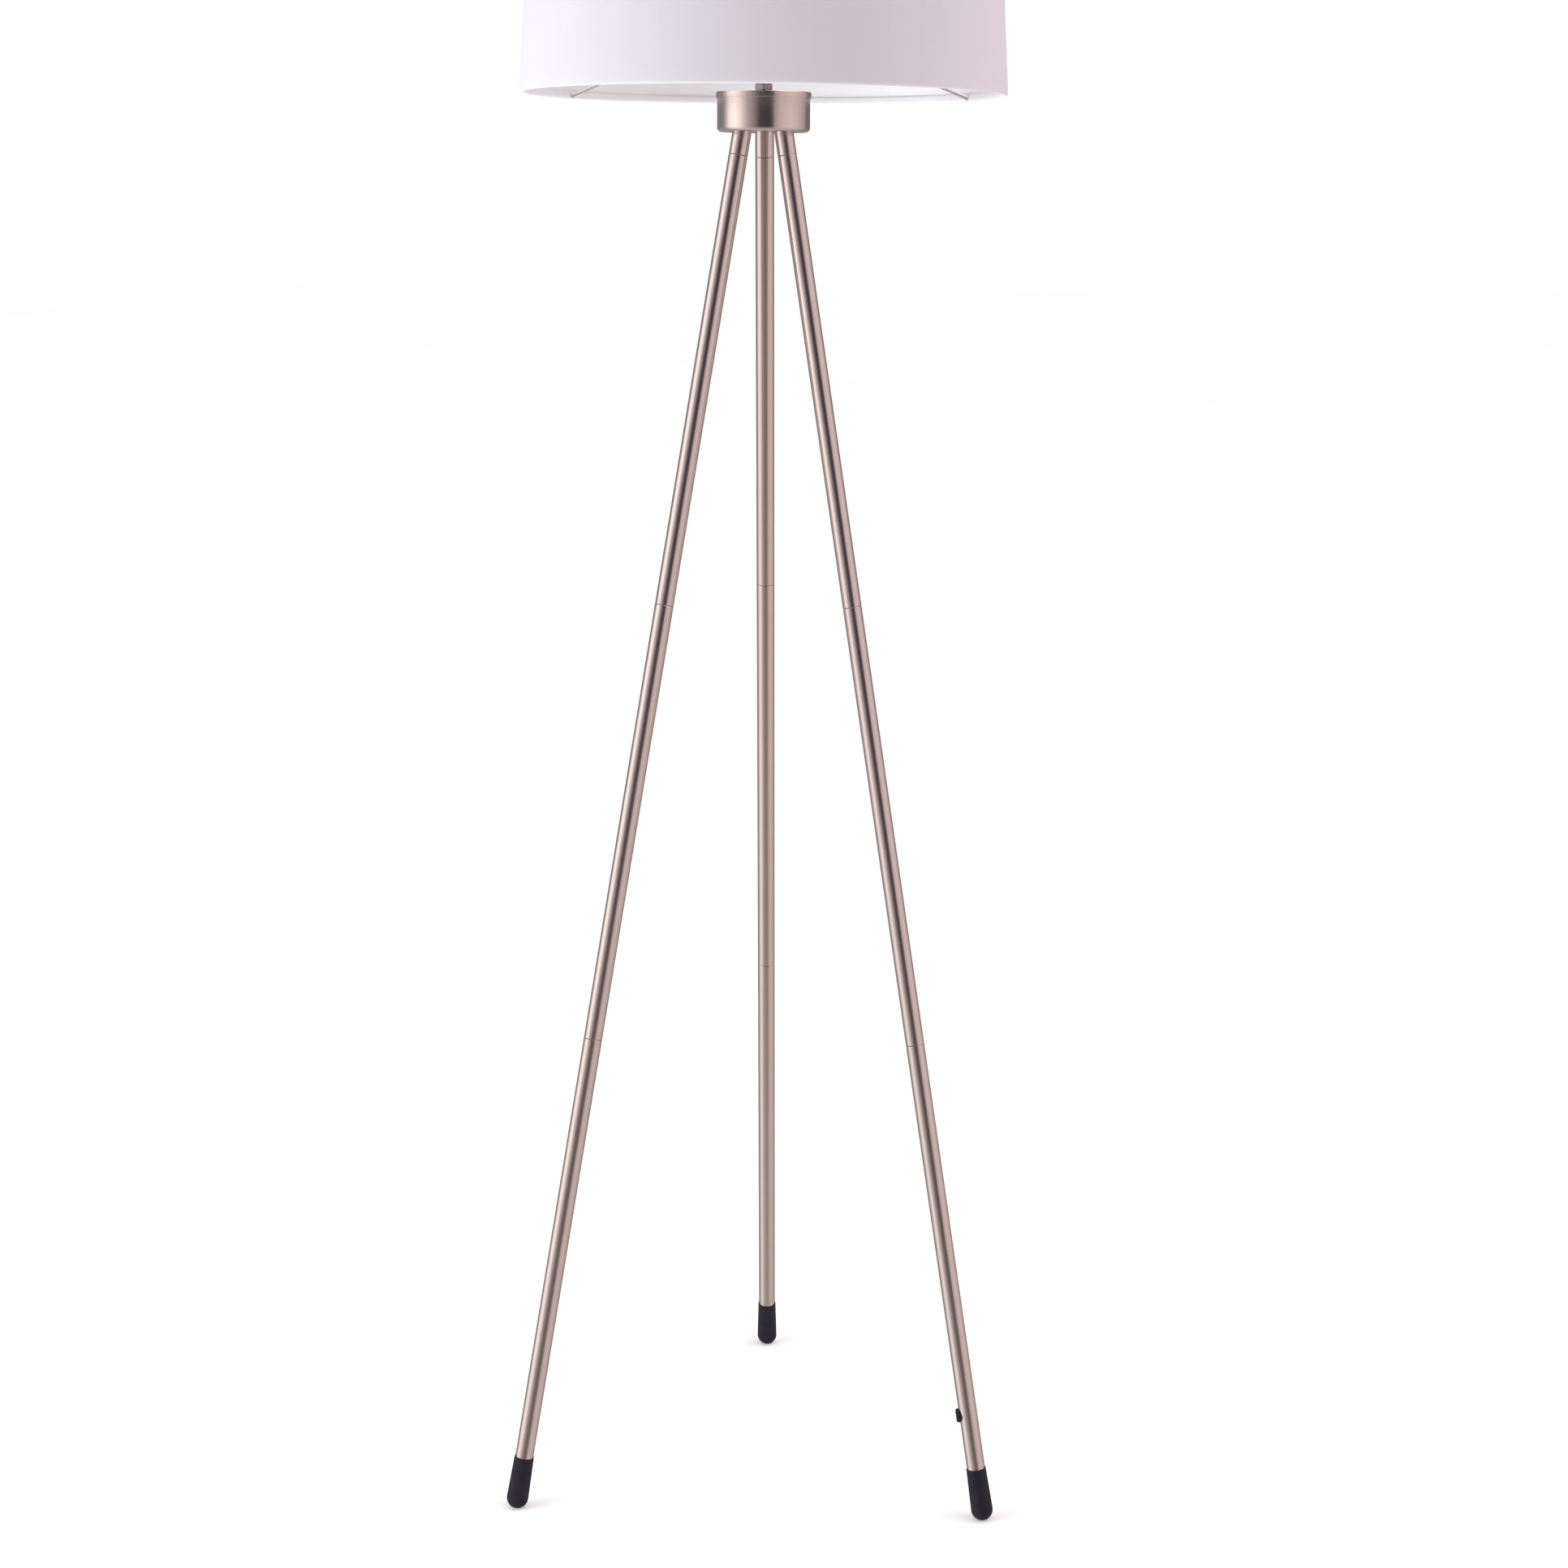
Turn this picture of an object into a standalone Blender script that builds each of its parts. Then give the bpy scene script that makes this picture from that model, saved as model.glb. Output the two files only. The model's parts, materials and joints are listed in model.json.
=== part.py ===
"""Tripod floor lamp: three screwed tube legs, a spun hub, a rotary lamp socket and a drum shade."""

from math import atan2, cos, pi, radians, sin

import bmesh
import bpy
from mathutils import Matrix

MM = 0.001
GAP = 0.3 * MM
WELD = 0.01 * MM
SHARP_ANGLE = radians(35.0)

# Where the lamp's own axis stands: the footprint of shade and rear foot is centred on the origin.
AXIS_Y = -21.1 * MM

# Hub
HUB_BOTTOM_Z = 1186.3 * MM
HUB_TOP_Z = 1218.8 * MM
HUB_RADIUS = 38.85 * MM
HUB_WALL = 1.2 * MM
HUB_EDGE_RADIUS = 3.5 * MM
CUP_HOLE_CLEAR = 0.4 * MM
COVER_RADIUS = 39.75 * MM
COVER_WALL = 0.6 * MM
COVER_TOP = 1.0 * MM
COVER_SKIRT = 4.8 * MM
CORE_RADIUS = 37.2 * MM
CORE_BOTTOM_Z = HUB_BOTTOM_Z + HUB_WALL + 1.0 * MM
CORE_TOP_Z = CORE_BOTTOM_Z + 16.0 * MM

# Legs: measured along each leg's own axis from the point where it leaves the hub
LEG_AZIMUTHS = {"rear": 90.0, "left": 210.0, "right": 330.0}
LEG_LEAN = radians(10.37)
LEG_TOP_RADIUS = 20.1 * MM
TUBE_RADIUS = 8.0 * MM
TUBE_WALL = 1.2 * MM
TUBE_CHAMFER = 0.3 * MM
STUB_LENGTH = 19.6 * MM
STUB_INSERTION = 16.5 * MM
SECTION_LENGTH = 379.8 * MM
SECTION_NAMES = ("upper", "middle", "lower")

# Hollow screw studs and the threaded inserts they enter
STUD_RADIUS = 5.0 * MM
STUD_REACH = 14.0 * MM
STUD_SHANK = 22.0 * MM
STUD_BORE = 3.0 * MM
THREAD_BORE = 5.3 * MM
PLUG_RADIUS = TUBE_RADIUS - TUBE_WALL - GAP
INSERT_LENGTH = 20.0 * MM

# Rubber feet
TIP_TOP_RADIUS = 8.9 * MM
TIP_END_RADIUS = 9.7 * MM
TIP_FLAT_DROP = 0.8 * MM
TIP_SOCKET_DEPTH = 28.0 * MM

# Cord grommet in the right leg, facing -X
GROMMET_HEIGHT = 48.5 * MM
GROMMET_FLANGE_RADIUS = 6.2 * MM
GROMMET_NECK_RADIUS = 4.6 * MM
GROMMET_BORE_RADIUS = 3.6 * MM
GROMMET_PROUD = 2.8 * MM
GROMMET_SKIRT = 4.9 * MM
GROMMET_BARB = 1.6 * MM
GROMMET_EDGE = 0.8 * MM
GROMMET_BORE_EDGE = 0.4 * MM

# Lamp pipe and its hardware
PIPE_RADIUS = 4.9 * MM
PIPE_BORE = 3.0 * MM
PIPE_BOTTOM_Z = CORE_BOTTOM_Z + 1.0 * MM
PIPE_TOP_Z = HUB_TOP_Z + 21.0 * MM
PIPE_HOLE = 5.3 * MM
NUT_FLATS = 14.0 * MM
NUT_HEIGHT = 5.0 * MM
WASHER_RADIUS = 9.5 * MM
WASHER_HEIGHT = 0.9 * MM

# Socket
SOCKET_CAP_Z = HUB_TOP_Z + GAP + WASHER_HEIGHT + GAP + NUT_HEIGHT + GAP
SOCKET_CAP_HEIGHT = 19.0 * MM
SOCKET_RADIUS = 18.5 * MM
SOCKET_WALL = 1.0 * MM
SHOULDER_Z = HUB_TOP_Z + 54.5 * MM
SHOULDER_RADIUS = 21.5 * MM
SOCKET_THREAD_RADIUS = 19.2 * MM
SOCKET_TOP_Z = HUB_TOP_Z + 81.2 * MM
WELL_RADIUS = 14.4 * MM
WELL_FLOOR_Z = HUB_TOP_Z + 52.2 * MM
SWITCH_Z = HUB_TOP_Z + 36.0 * MM
SWITCH_SHAFT_RADIUS = 1.6 * MM
SWITCH_ROTOR_RADIUS = 6.5 * MM
KNOB_RADIUS = 5.5 * MM
KNOB_START = 23.0 * MM
KNOB_LENGTH = 13.0 * MM

# Bulb
BULB_BASE_Z = WELL_FLOOR_Z + 5.0 * MM
BULB_LENGTH = 108.0 * MM
BULB_RADIUS = 30.0 * MM
BULB_CAP_RADIUS = 13.2 * MM
BULB_CAP_LENGTH = 25.0 * MM
BULB_THREADS = 4
GLASS_WALL = 0.8 * MM

# Shade
SHADE_BOTTOM_Z = 1216.5 * MM
SHADE_HEIGHT = 260.0 * MM
SHADE_BOTTOM_RADIUS = 203.0 * MM
SHADE_TOP_RADIUS = 187.5 * MM
FABRIC = 0.5 * MM  # thickness of the cloth
LINER = 0.5 * MM  # thickness of the stiff liner
WIRE_RADIUS = 1.5 * MM
HEM_TAIL = 4.2 * MM
FITTER_INNER = 19.7 * MM
FITTER_OUTER = 24.0 * MM
FITTER_THICKNESS = 1.2 * MM
SPOKE_RADIUS = 1.5 * MM
SPOKE_FLAT = 5.0 * MM
SPOKE_AZIMUTHS = {"front": 270.0, "rear_left": 150.0, "rear_right": 30.0}
RING_NUT_RADIUS = 23.4 * MM
RING_NUT_HEIGHT = 9.5 * MM

# How many straight sides stand for a full turn
ROUND = {"fine": 48, "hub": 36, "ring": 32, "socket": 24, "tube": 20, "small": 14}

parts = None
cutters = None


def clear_scene():
    for obj in list(bpy.data.objects):
        bpy.data.objects.remove(obj, do_unlink=True)


def make_collections():
    global parts, cutters
    parts = bpy.data.collections.new("tripod_floor_lamp")
    cutters = bpy.data.collections.new("cutters")
    bpy.context.scene.collection.children.link(parts)
    bpy.context.scene.collection.children.link(cutters)


# ---------------------------------------------------------------- materials

def principled(name, colour, roughness, metallic, alpha=1.0):
    material = bpy.data.materials.get(name)
    if material:
        return material
    material = bpy.data.materials.new(name)
    material.use_nodes = True
    shader = material.node_tree.nodes["Principled BSDF"]
    shader.inputs["Base Color"].default_value = (*colour, 1.0)
    shader.inputs["Roughness"].default_value = roughness
    shader.inputs["Metallic"].default_value = metallic
    shader.inputs["Alpha"].default_value = alpha
    return material


def brushed_nickel():
    return principled("brushed_nickel", (0.62, 0.57, 0.54), 0.32, 1.0)


def zinc():
    return principled("zinc", (0.55, 0.56, 0.58), 0.45, 1.0)


def rubber():
    return principled("rubber", (0.028, 0.024, 0.038), 0.7, 0.0)


def phenolic():
    return principled("phenolic", (0.02, 0.02, 0.02), 0.4, 0.0)


def brass():
    return principled("brass", (0.72, 0.53, 0.25), 0.3, 1.0)


def cap_metal():
    return principled("cap_metal", (0.78, 0.79, 0.8), 0.3, 1.0)


def frosted_glass():
    return principled("frosted_glass", (0.94, 0.94, 0.92), 0.35, 0.0, 0.85)


def linen():
    return principled("linen", (0.88, 0.87, 0.88), 0.9, 0.0)


def styrene():
    return principled("styrene", (0.9, 0.89, 0.88), 0.5, 0.0)


def plated_wire():
    return principled("plated_wire", (0.72, 0.71, 0.72), 0.22, 1.0)


# ---------------------------------------------------------------- tools

def place(obj, parent=None, location=(0.0, 0.0, 0.0), rotation=(0.0, 0.0, 0.0)):
    obj.location = location
    obj.rotation_euler = rotation
    obj.parent = parent
    return obj


def empty(name, parent=None, location=(0.0, 0.0, 0.0), rotation=(0.0, 0.0, 0.0)):
    obj = bpy.data.objects.new(name, None)
    obj.empty_display_size = 0.02
    parts.objects.link(obj)
    return place(obj, parent, location, rotation)


def evaluated_mesh(obj):
    bpy.context.view_layer.update()
    graph = bpy.context.evaluated_depsgraph_get()
    return bpy.data.meshes.new_from_object(obj.evaluated_get(graph), depsgraph=graph)


def shade_round(mesh):
    mesh.shade_smooth()
    mesh.set_sharp_from_angle(angle=SHARP_ANGLE)


def fix(obj, material):
    """Turn the object's modifiers into its own mesh, smooth it and give it its material."""
    mesh = evaluated_mesh(obj)
    obj.modifiers.clear()
    old = obj.data
    obj.data = mesh
    mesh.name = obj.name
    bpy.data.meshes.remove(old)
    shade_round(mesh)
    mesh.materials.clear()
    mesh.materials.append(material)
    return obj


def outline_object(name, profile, closed, collection):
    """An object that holds only a profile in the XZ plane, as (radius, height) points."""
    mesh = bpy.data.meshes.new(name)
    shape = bmesh.new()
    points = [shape.verts.new((radius, 0.0, height)) for radius, height in profile]
    for first, second in zip(points, points[1:]):
        shape.edges.new((first, second))
    if closed:
        shape.edges.new((points[-1], points[0]))
    shape.to_mesh(mesh)
    shape.free()
    obj = bpy.data.objects.new(name, mesh)
    collection.objects.link(obj)
    return obj


def add_screw(obj, steps):
    screw = obj.modifiers.new("turn", "SCREW")
    screw.axis = "Z"
    screw.angle = 2.0 * pi
    screw.steps = steps
    screw.render_steps = steps
    screw.use_merge_vertices = True
    screw.merge_threshold = WELD
    screw.use_smooth_shade = True


def turned(name, profile, steps, material, closed=False, wall=0.0, collection=None):
    """A turned piece. The profile runs down its outer side; a wall makes a shell inside it."""
    obj = outline_object(name, profile, closed, collection or parts)
    add_screw(obj, steps)
    if wall:
        shell = obj.modifiers.new("wall", "SOLIDIFY")
        shell.thickness = wall
        shell.offset = -1.0
        shell.use_even_offset = True
    return fix(obj, material)


def ring_profile(inner, outer, bottom, top):
    return [(outer, top), (outer, bottom), (inner, bottom), (inner, top)]


def arc(centre, radius, start, end, steps):
    """Points on an arc in the profile plane, both ends included, angles in degrees."""
    points = []
    for i in range(steps + 1):
        angle = radians(start + (end - start) * i / steps)
        points.append((centre[0] + radius * cos(angle), centre[1] + radius * sin(angle)))
    return points


def cylinder(name, radius, depth, steps, collection, centre=(0.0, 0.0, 0.0)):
    """A straight cylinder along its own Z, its mesh centred on the given point."""
    mesh = bpy.data.meshes.new(name)
    shape = bmesh.new()
    bmesh.ops.create_cone(
        shape,
        cap_ends=True,
        segments=steps,
        radius1=radius,
        radius2=radius,
        depth=depth,
        matrix=Matrix.Translation(centre),
    )
    shape.to_mesh(mesh)
    shape.free()
    obj = bpy.data.objects.new(name, mesh)
    collection.objects.link(obj)
    return obj


def cutter(name, radius, depth, steps, parent=None, location=(0.0, 0.0, 0.0), rotation=(0.0, 0.0, 0.0)):
    obj = cylinder(name, radius, depth, steps, cutters)
    obj.hide_render = True
    obj.display_type = "WIRE"
    return place(obj, parent, location, rotation)


def cut(obj, tool, operation="DIFFERENCE"):
    boolean = obj.modifiers.new("cut_" + tool.name, "BOOLEAN")
    boolean.operation = operation
    boolean.solver = "EXACT"
    boolean.object = tool


def rod(name, points, radius, material, parent):
    """A round wire through the given points, with its ends capped and welded."""
    curve = bpy.data.curves.new(name + "_path", "CURVE")
    curve.dimensions = "3D"
    curve.bevel_depth = radius
    curve.bevel_resolution = 2
    curve.use_fill_caps = True
    spline = curve.splines.new("POLY")
    spline.points.add(len(points) - 1)
    for point, position in zip(spline.points, points):
        point.co = (*position, 1.0)
    path = bpy.data.objects.new(name + "_path", curve)
    parts.objects.link(path)
    mesh = evaluated_mesh(path)
    bpy.data.objects.remove(path, do_unlink=True)
    shape = bmesh.new()
    shape.from_mesh(mesh)
    bmesh.ops.remove_doubles(shape, verts=shape.verts, dist=WELD)
    shape.to_mesh(mesh)
    shape.free()
    mesh.name = name
    mesh.materials.clear()
    mesh.materials.append(material)
    shade_round(mesh)
    obj = bpy.data.objects.new(name, mesh)
    parts.objects.link(obj)
    return place(obj, parent)


# ---------------------------------------------------------------- legs

def leg_axis(side, lamp):
    """An empty where the leg leaves the hub, its Z running up along the leg."""
    azimuth = radians(LEG_AZIMUTHS[side])
    location = (LEG_TOP_RADIUS * cos(azimuth), LEG_TOP_RADIUS * sin(azimuth), HUB_BOTTOM_Z)
    return empty(side + "_leg_axis", lamp, location, (0.0, -LEG_LEAN, azimuth))


def seam_distance(section):
    """How far down the leg the top end of a section lies."""
    return STUB_LENGTH + section * SECTION_LENGTH


def tip_centre_distance():
    """How far down the leg the centre of the tip's round end lies."""
    height = TIP_END_RADIUS - TIP_FLAT_DROP
    return (HUB_BOTTOM_Z - height) / cos(LEG_LEAN)


def leg_stub(side, axis):
    """The short tube fixed in the hub, threaded below for the first stud, with a cord hole above."""
    bottom = -STUB_LENGTH + GAP / 2
    thread_past_stud = 3.0 * MM
    inner_step = bottom + STUD_REACH + thread_past_stud
    cord_bore = 4.0 * MM
    profile = [
        (TUBE_RADIUS, STUB_INSERTION),
        (TUBE_RADIUS, bottom + TUBE_CHAMFER),
        (TUBE_RADIUS - TUBE_CHAMFER, bottom),
        (THREAD_BORE, bottom),
        (THREAD_BORE, inner_step),
        (cord_bore, inner_step),
        (cord_bore, STUB_INSERTION),
    ]
    obj = turned(side + "_leg_stub", profile, ROUND["tube"], brushed_nickel(), closed=True)
    return place(obj, axis)


def leg_tube(side, section, axis):
    """One hollow section. Its origin is on the leg's axis, at the seam above it."""
    inner = TUBE_RADIUS - TUBE_WALL
    if section == 2:
        length = seam_distance(3) + TIP_SOCKET_DEPTH - GAP - seam_distance(2)
    else:
        length = SECTION_LENGTH - GAP / 2
    profile = [
        (TUBE_RADIUS - TUBE_CHAMFER, -GAP / 2),
        (TUBE_RADIUS, -GAP / 2 - TUBE_CHAMFER),
        (TUBE_RADIUS, -length + TUBE_CHAMFER),
        (TUBE_RADIUS - TUBE_CHAMFER, -length),
        (inner, -length),
        (inner, -GAP / 2),
    ]
    name = side + "_leg_" + SECTION_NAMES[section] + "_tube"
    obj = turned(name, profile, ROUND["tube"], brushed_nickel(), closed=True)
    return place(obj, axis, (0.0, 0.0, -seam_distance(section)))


def joint_stud(side, section, axis):
    """A hollow screw pressed into the top of a section, reaching into the piece above."""
    chamfer = 0.9 * MM
    neck = -0.5 * MM
    profile = [
        (STUD_RADIUS - chamfer, STUD_REACH),
        (STUD_RADIUS, STUD_REACH - chamfer),
        (STUD_RADIUS, neck),
        (PLUG_RADIUS, neck),
        (PLUG_RADIUS, -STUD_SHANK),
        (STUD_BORE, -STUD_SHANK),
        (STUD_BORE, STUD_REACH),
    ]
    name = side + "_leg_" + SECTION_NAMES[section] + "_stud"
    obj = turned(name, profile, ROUND["small"], zinc(), closed=True)
    return place(obj, axis, (0.0, 0.0, -seam_distance(section)))


def joint_insert(side, section, axis):
    """A threaded bush in the bottom end of a section, which takes the next section's stud."""
    bottom = 0.5 * MM
    profile = ring_profile(THREAD_BORE, PLUG_RADIUS, bottom, bottom + INSERT_LENGTH)
    name = side + "_leg_" + SECTION_NAMES[section] + "_insert"
    obj = turned(name, profile, ROUND["small"], zinc(), closed=True)
    return place(obj, axis, (0.0, 0.0, -seam_distance(section + 1)))


def foot_tip(side, axis):
    """A rubber boot over the tube's end, round below and cut flat where it meets the floor."""
    top = seam_distance(3)
    end = tip_centre_distance() - top
    bore = TUBE_RADIUS + GAP
    lip = 0.5 * MM
    profile = [
        (0.0, -TIP_SOCKET_DEPTH),
        (bore, -TIP_SOCKET_DEPTH),
        (bore, 0.0),
        (TIP_TOP_RADIUS - lip / 2, 0.0),
        (TIP_TOP_RADIUS, -lip),
    ]
    profile += arc((0.0, -end), TIP_END_RADIUS, 0.0, -90.0, 5)[:-1]
    profile.append((0.0, -end - TIP_END_RADIUS))
    obj = turned(side + "_leg_foot_tip", profile, ROUND["tube"], rubber())
    place(obj, axis, (0.0, 0.0, -top))
    bpy.context.view_layer.update()
    point = obj.matrix_world.translation
    depth = 40.0 * MM
    floor = cutter(side + "_floor", 60.0 * MM, depth, ROUND["small"])
    place(floor, None, (point.x, point.y, -depth / 2))
    cut(obj, floor)
    return fix(obj, rubber())


def cord_grommet(tube):
    """A snap-in grommet through the tube's wall, facing -X, with the hole that it sits in."""
    seat = grommet_seat(tube)
    depth = 20.0 * MM
    hole = cutter("grommet_hole", GROMMET_NECK_RADIUS + GAP, depth, ROUND["small"], seat,
                  (0.0, 0.0, depth / 2))
    cut(tube, hole)
    fix(tube, brushed_nickel())
    face = TUBE_RADIUS + GROMMET_PROUD
    inner_end = TUBE_RADIUS - TUBE_WALL - GROMMET_BARB
    profile = [
        (GROMMET_BORE_RADIUS, face - GROMMET_BORE_EDGE),
        (GROMMET_BORE_RADIUS + GROMMET_BORE_EDGE, face),
        (GROMMET_FLANGE_RADIUS - GROMMET_EDGE, face),
        (GROMMET_FLANGE_RADIUS, face - GROMMET_EDGE),
        (GROMMET_FLANGE_RADIUS, GROMMET_SKIRT),
        (GROMMET_NECK_RADIUS, GROMMET_SKIRT),
        (GROMMET_NECK_RADIUS, inner_end),
        (GROMMET_BORE_RADIUS, inner_end),
    ]
    obj = turned("cord_grommet", profile, ROUND["tube"], rubber(), closed=True)
    place(obj, seat)
    cut(obj, saddle_cutter(seat))
    return fix(obj, rubber())


def grommet_seat(tube):
    """An empty on the tube's axis whose Z leaves the tube square to it, towards the -X side."""
    along = seam_distance(3) - GROMMET_HEIGHT - seam_distance(2)
    azimuth = radians(LEG_AZIMUTHS["right"])
    turn = atan2(sin(azimuth), -cos(azimuth) * cos(LEG_LEAN))
    return empty("cord_grommet_seat", tube, (0.0, 0.0, -along), (0.0, pi / 2, turn))


def saddle_cutter(seat):
    """The tube's wall as a cutter with a clear ring for the neck, so the flange sits on the tube."""
    outer = TUBE_RADIUS + GAP
    inner = TUBE_RADIUS - TUBE_WALL - GAP
    half = 12.0 * MM
    hair = 0.001 * MM
    wall = turned("grommet_saddle", ring_profile(inner, outer, -half, half), ROUND["fine"],
                  rubber(), closed=True, collection=cutters)
    clear = cutter("grommet_neck_clear", GROMMET_NECK_RADIUS + hair, 30.0 * MM, ROUND["tube"], seat)
    place(wall, seat, (0.0, 0.0, 0.0), (0.0, pi / 2, 0.0))
    cut(wall, clear)
    fix(wall, rubber())
    wall.hide_render = True
    wall.display_type = "WIRE"
    return wall


def leg(side, lamp):
    axis = leg_axis(side, lamp)
    leg_stub(side, axis)
    tubes = []
    for section in range(3):
        tubes.append(leg_tube(side, section, axis))
        joint_stud(side, section, axis)
    for section in range(2):
        joint_insert(side, section, axis)
    foot_tip(side, axis)
    return axis, tubes


# ---------------------------------------------------------------- hub

def leg_cutter(name, axis, radius):
    return cutter(name, radius, 80.0 * MM, ROUND["tube"], axis)


def hub_cup(lamp, axes):
    """The spun cup, open at the top, with a rounded bottom edge and a hole for each leg."""
    outer_centre = (HUB_RADIUS - HUB_EDGE_RADIUS, HUB_BOTTOM_Z + HUB_EDGE_RADIUS)
    inner_radius = HUB_EDGE_RADIUS - HUB_WALL
    rim = HUB_TOP_Z - COVER_TOP - GAP
    profile = [(0.0, HUB_BOTTOM_Z + HUB_WALL)]
    profile += arc(outer_centre, inner_radius, -90.0, 0.0, 2)
    profile.append((HUB_RADIUS - HUB_WALL, rim))
    profile.append((HUB_RADIUS, rim))
    profile += arc(outer_centre, HUB_EDGE_RADIUS, 0.0, -90.0, 4)
    profile.append((0.0, HUB_BOTTOM_Z))
    obj = turned("hub_cup", profile, ROUND["hub"], brushed_nickel())
    place(obj, lamp)
    for side, axis in axes.items():
        cut(obj, leg_cutter(side + "_cup_hole", axis, TUBE_RADIUS + CUP_HOLE_CLEAR))
    return fix(obj, brushed_nickel())


def hub_core(lamp, axes):
    """The cast core inside the cup: it holds the three stubs and the lamp pipe."""
    edge = 0.8 * MM
    lower_edge = 3.0 * MM
    profile = [
        (PIPE_HOLE, CORE_TOP_Z),
        (CORE_RADIUS - edge, CORE_TOP_Z),
        (CORE_RADIUS, CORE_TOP_Z - edge),
        (CORE_RADIUS, CORE_BOTTOM_Z + lower_edge),
        (CORE_RADIUS - lower_edge, CORE_BOTTOM_Z),
        (PIPE_HOLE, CORE_BOTTOM_Z),
    ]
    obj = turned("hub_core", profile, ROUND["hub"], zinc(), closed=True)
    place(obj, lamp)
    for side, axis in axes.items():
        cut(obj, leg_cutter(side + "_core_bore", axis, TUBE_RADIUS + GAP))
    return fix(obj, zinc())


def hub_cover(lamp):
    """The flat lid with a short skirt that laps over the cup's rim."""
    edge = 0.5 * MM
    underside = HUB_TOP_Z - COVER_TOP
    skirt_inner = COVER_RADIUS - COVER_WALL
    profile = [
        (PIPE_HOLE, HUB_TOP_Z),
        (COVER_RADIUS - edge, HUB_TOP_Z),
        (COVER_RADIUS, HUB_TOP_Z - edge),
        (COVER_RADIUS, HUB_TOP_Z - COVER_SKIRT),
        (skirt_inner, HUB_TOP_Z - COVER_SKIRT),
        (skirt_inner, underside),
        (PIPE_HOLE, underside),
    ]
    return place(turned("hub_cover", profile, ROUND["hub"], brushed_nickel(), closed=True), lamp)


def lamp_pipe(lamp):
    profile = ring_profile(PIPE_BORE, PIPE_RADIUS, PIPE_BOTTOM_Z, PIPE_TOP_Z)
    return place(turned("lamp_pipe", profile, ROUND["small"], zinc(), closed=True), lamp)


def hex_nut(name, bottom, lamp):
    """A hexagon nut with its corners turned off, as the overlap of a prism and a turned blank."""
    corner = NUT_FLATS / 2 / cos(pi / 6)
    chamfer = 0.7 * MM
    obj = cylinder(name, corner, NUT_HEIGHT, 6, parts, (0.0, 0.0, bottom + NUT_HEIGHT / 2))
    place(obj, lamp)
    top = bottom + NUT_HEIGHT
    proud = 0.5 * MM
    profile = [
        (PIPE_HOLE, top + proud),
        (corner - chamfer - proud, top + proud),
        (corner + proud, top - chamfer),
        (corner + proud, bottom + chamfer),
        (corner - chamfer - proud, bottom - proud),
        (PIPE_HOLE, bottom - proud),
    ]
    blank = turned(name + "_blank", profile, ROUND["tube"], zinc(), closed=True, collection=cutters)
    blank.hide_render = True
    blank.display_type = "WIRE"
    place(blank, lamp)
    cut(obj, blank, "INTERSECT")
    return fix(obj, zinc())


def cover_washer(lamp):
    bottom = HUB_TOP_Z + GAP
    profile = ring_profile(PIPE_HOLE, WASHER_RADIUS, bottom, bottom + WASHER_HEIGHT)
    return place(turned("cover_washer", profile, ROUND["tube"], brushed_nickel(), closed=True), lamp)


# ---------------------------------------------------------------- socket

def socket_cap(lamp):
    """The bell-shaped lower cap, threaded on the lamp pipe."""
    z = SOCKET_CAP_Z
    rim = z + SOCKET_CAP_HEIGHT
    neck = 7.2 * MM
    neck_top = z + 4.4 * MM
    flare_top = rim - 5.0 * MM
    wall = SOCKET_WALL
    profile = [
        (SOCKET_RADIUS - wall, rim),
        (SOCKET_RADIUS, rim),
        (SOCKET_RADIUS, flare_top),
        (SOCKET_RADIUS - 2.4 * MM, flare_top - 4.4 * MM),
        (neck + 2.4 * MM, neck_top + 1.0 * MM),
        (neck, neck_top),
        (neck, z),
        (PIPE_HOLE, z),
        (PIPE_HOLE, neck_top + 1.6 * MM),
        (neck + 1.6 * MM, neck_top + 2.2 * MM),
        (SOCKET_RADIUS - 3.2 * MM, flare_top - 3.4 * MM),
        (SOCKET_RADIUS - wall, flare_top + 0.4 * MM),
    ]
    return place(turned("socket_cap", profile, ROUND["socket"], brass(), closed=True), lamp)


def socket_body(lamp):
    """The moulded body: switch room below, a shoulder for the shade, and the lamp well above."""
    rim = SOCKET_CAP_Z + SOCKET_CAP_HEIGHT
    spigot = SOCKET_RADIUS - SOCKET_WALL - GAP
    spigot_bottom = rim - 3.5 * MM
    room = SOCKET_RADIUS - 3.0 * MM
    room_top = WELL_FLOOR_Z - 6.5 * MM
    shoulder = 3.0 * MM
    chamfer = 1.0 * MM
    profile = [
        (0.0, WELL_FLOOR_Z),
        (WELL_RADIUS, WELL_FLOOR_Z),
        (WELL_RADIUS, SOCKET_TOP_Z),
        (SOCKET_THREAD_RADIUS - chamfer, SOCKET_TOP_Z),
        (SOCKET_THREAD_RADIUS, SOCKET_TOP_Z - chamfer),
        (SOCKET_THREAD_RADIUS, SHOULDER_Z),
        (SHOULDER_RADIUS, SHOULDER_Z),
        (SHOULDER_RADIUS, SHOULDER_Z - shoulder),
        (SOCKET_RADIUS, SHOULDER_Z - shoulder - 1.5 * MM),
        (SOCKET_RADIUS, rim + GAP),
        (spigot, rim + GAP),
        (spigot, spigot_bottom),
        (room, spigot_bottom),
        (room, room_top),
        (0.0, room_top),
    ]
    obj = turned("socket_body", profile, ROUND["socket"], phenolic())
    place(obj, lamp)
    hole = cutter("switch_hole", SWITCH_SHAFT_RADIUS + 0.4 * MM, 20.0 * MM, ROUND["small"], lamp,
                  (SOCKET_RADIUS, 0.0, SWITCH_Z), (0.0, pi / 2, 0.0))
    cut(obj, hole)
    return fix(obj, phenolic())


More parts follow.
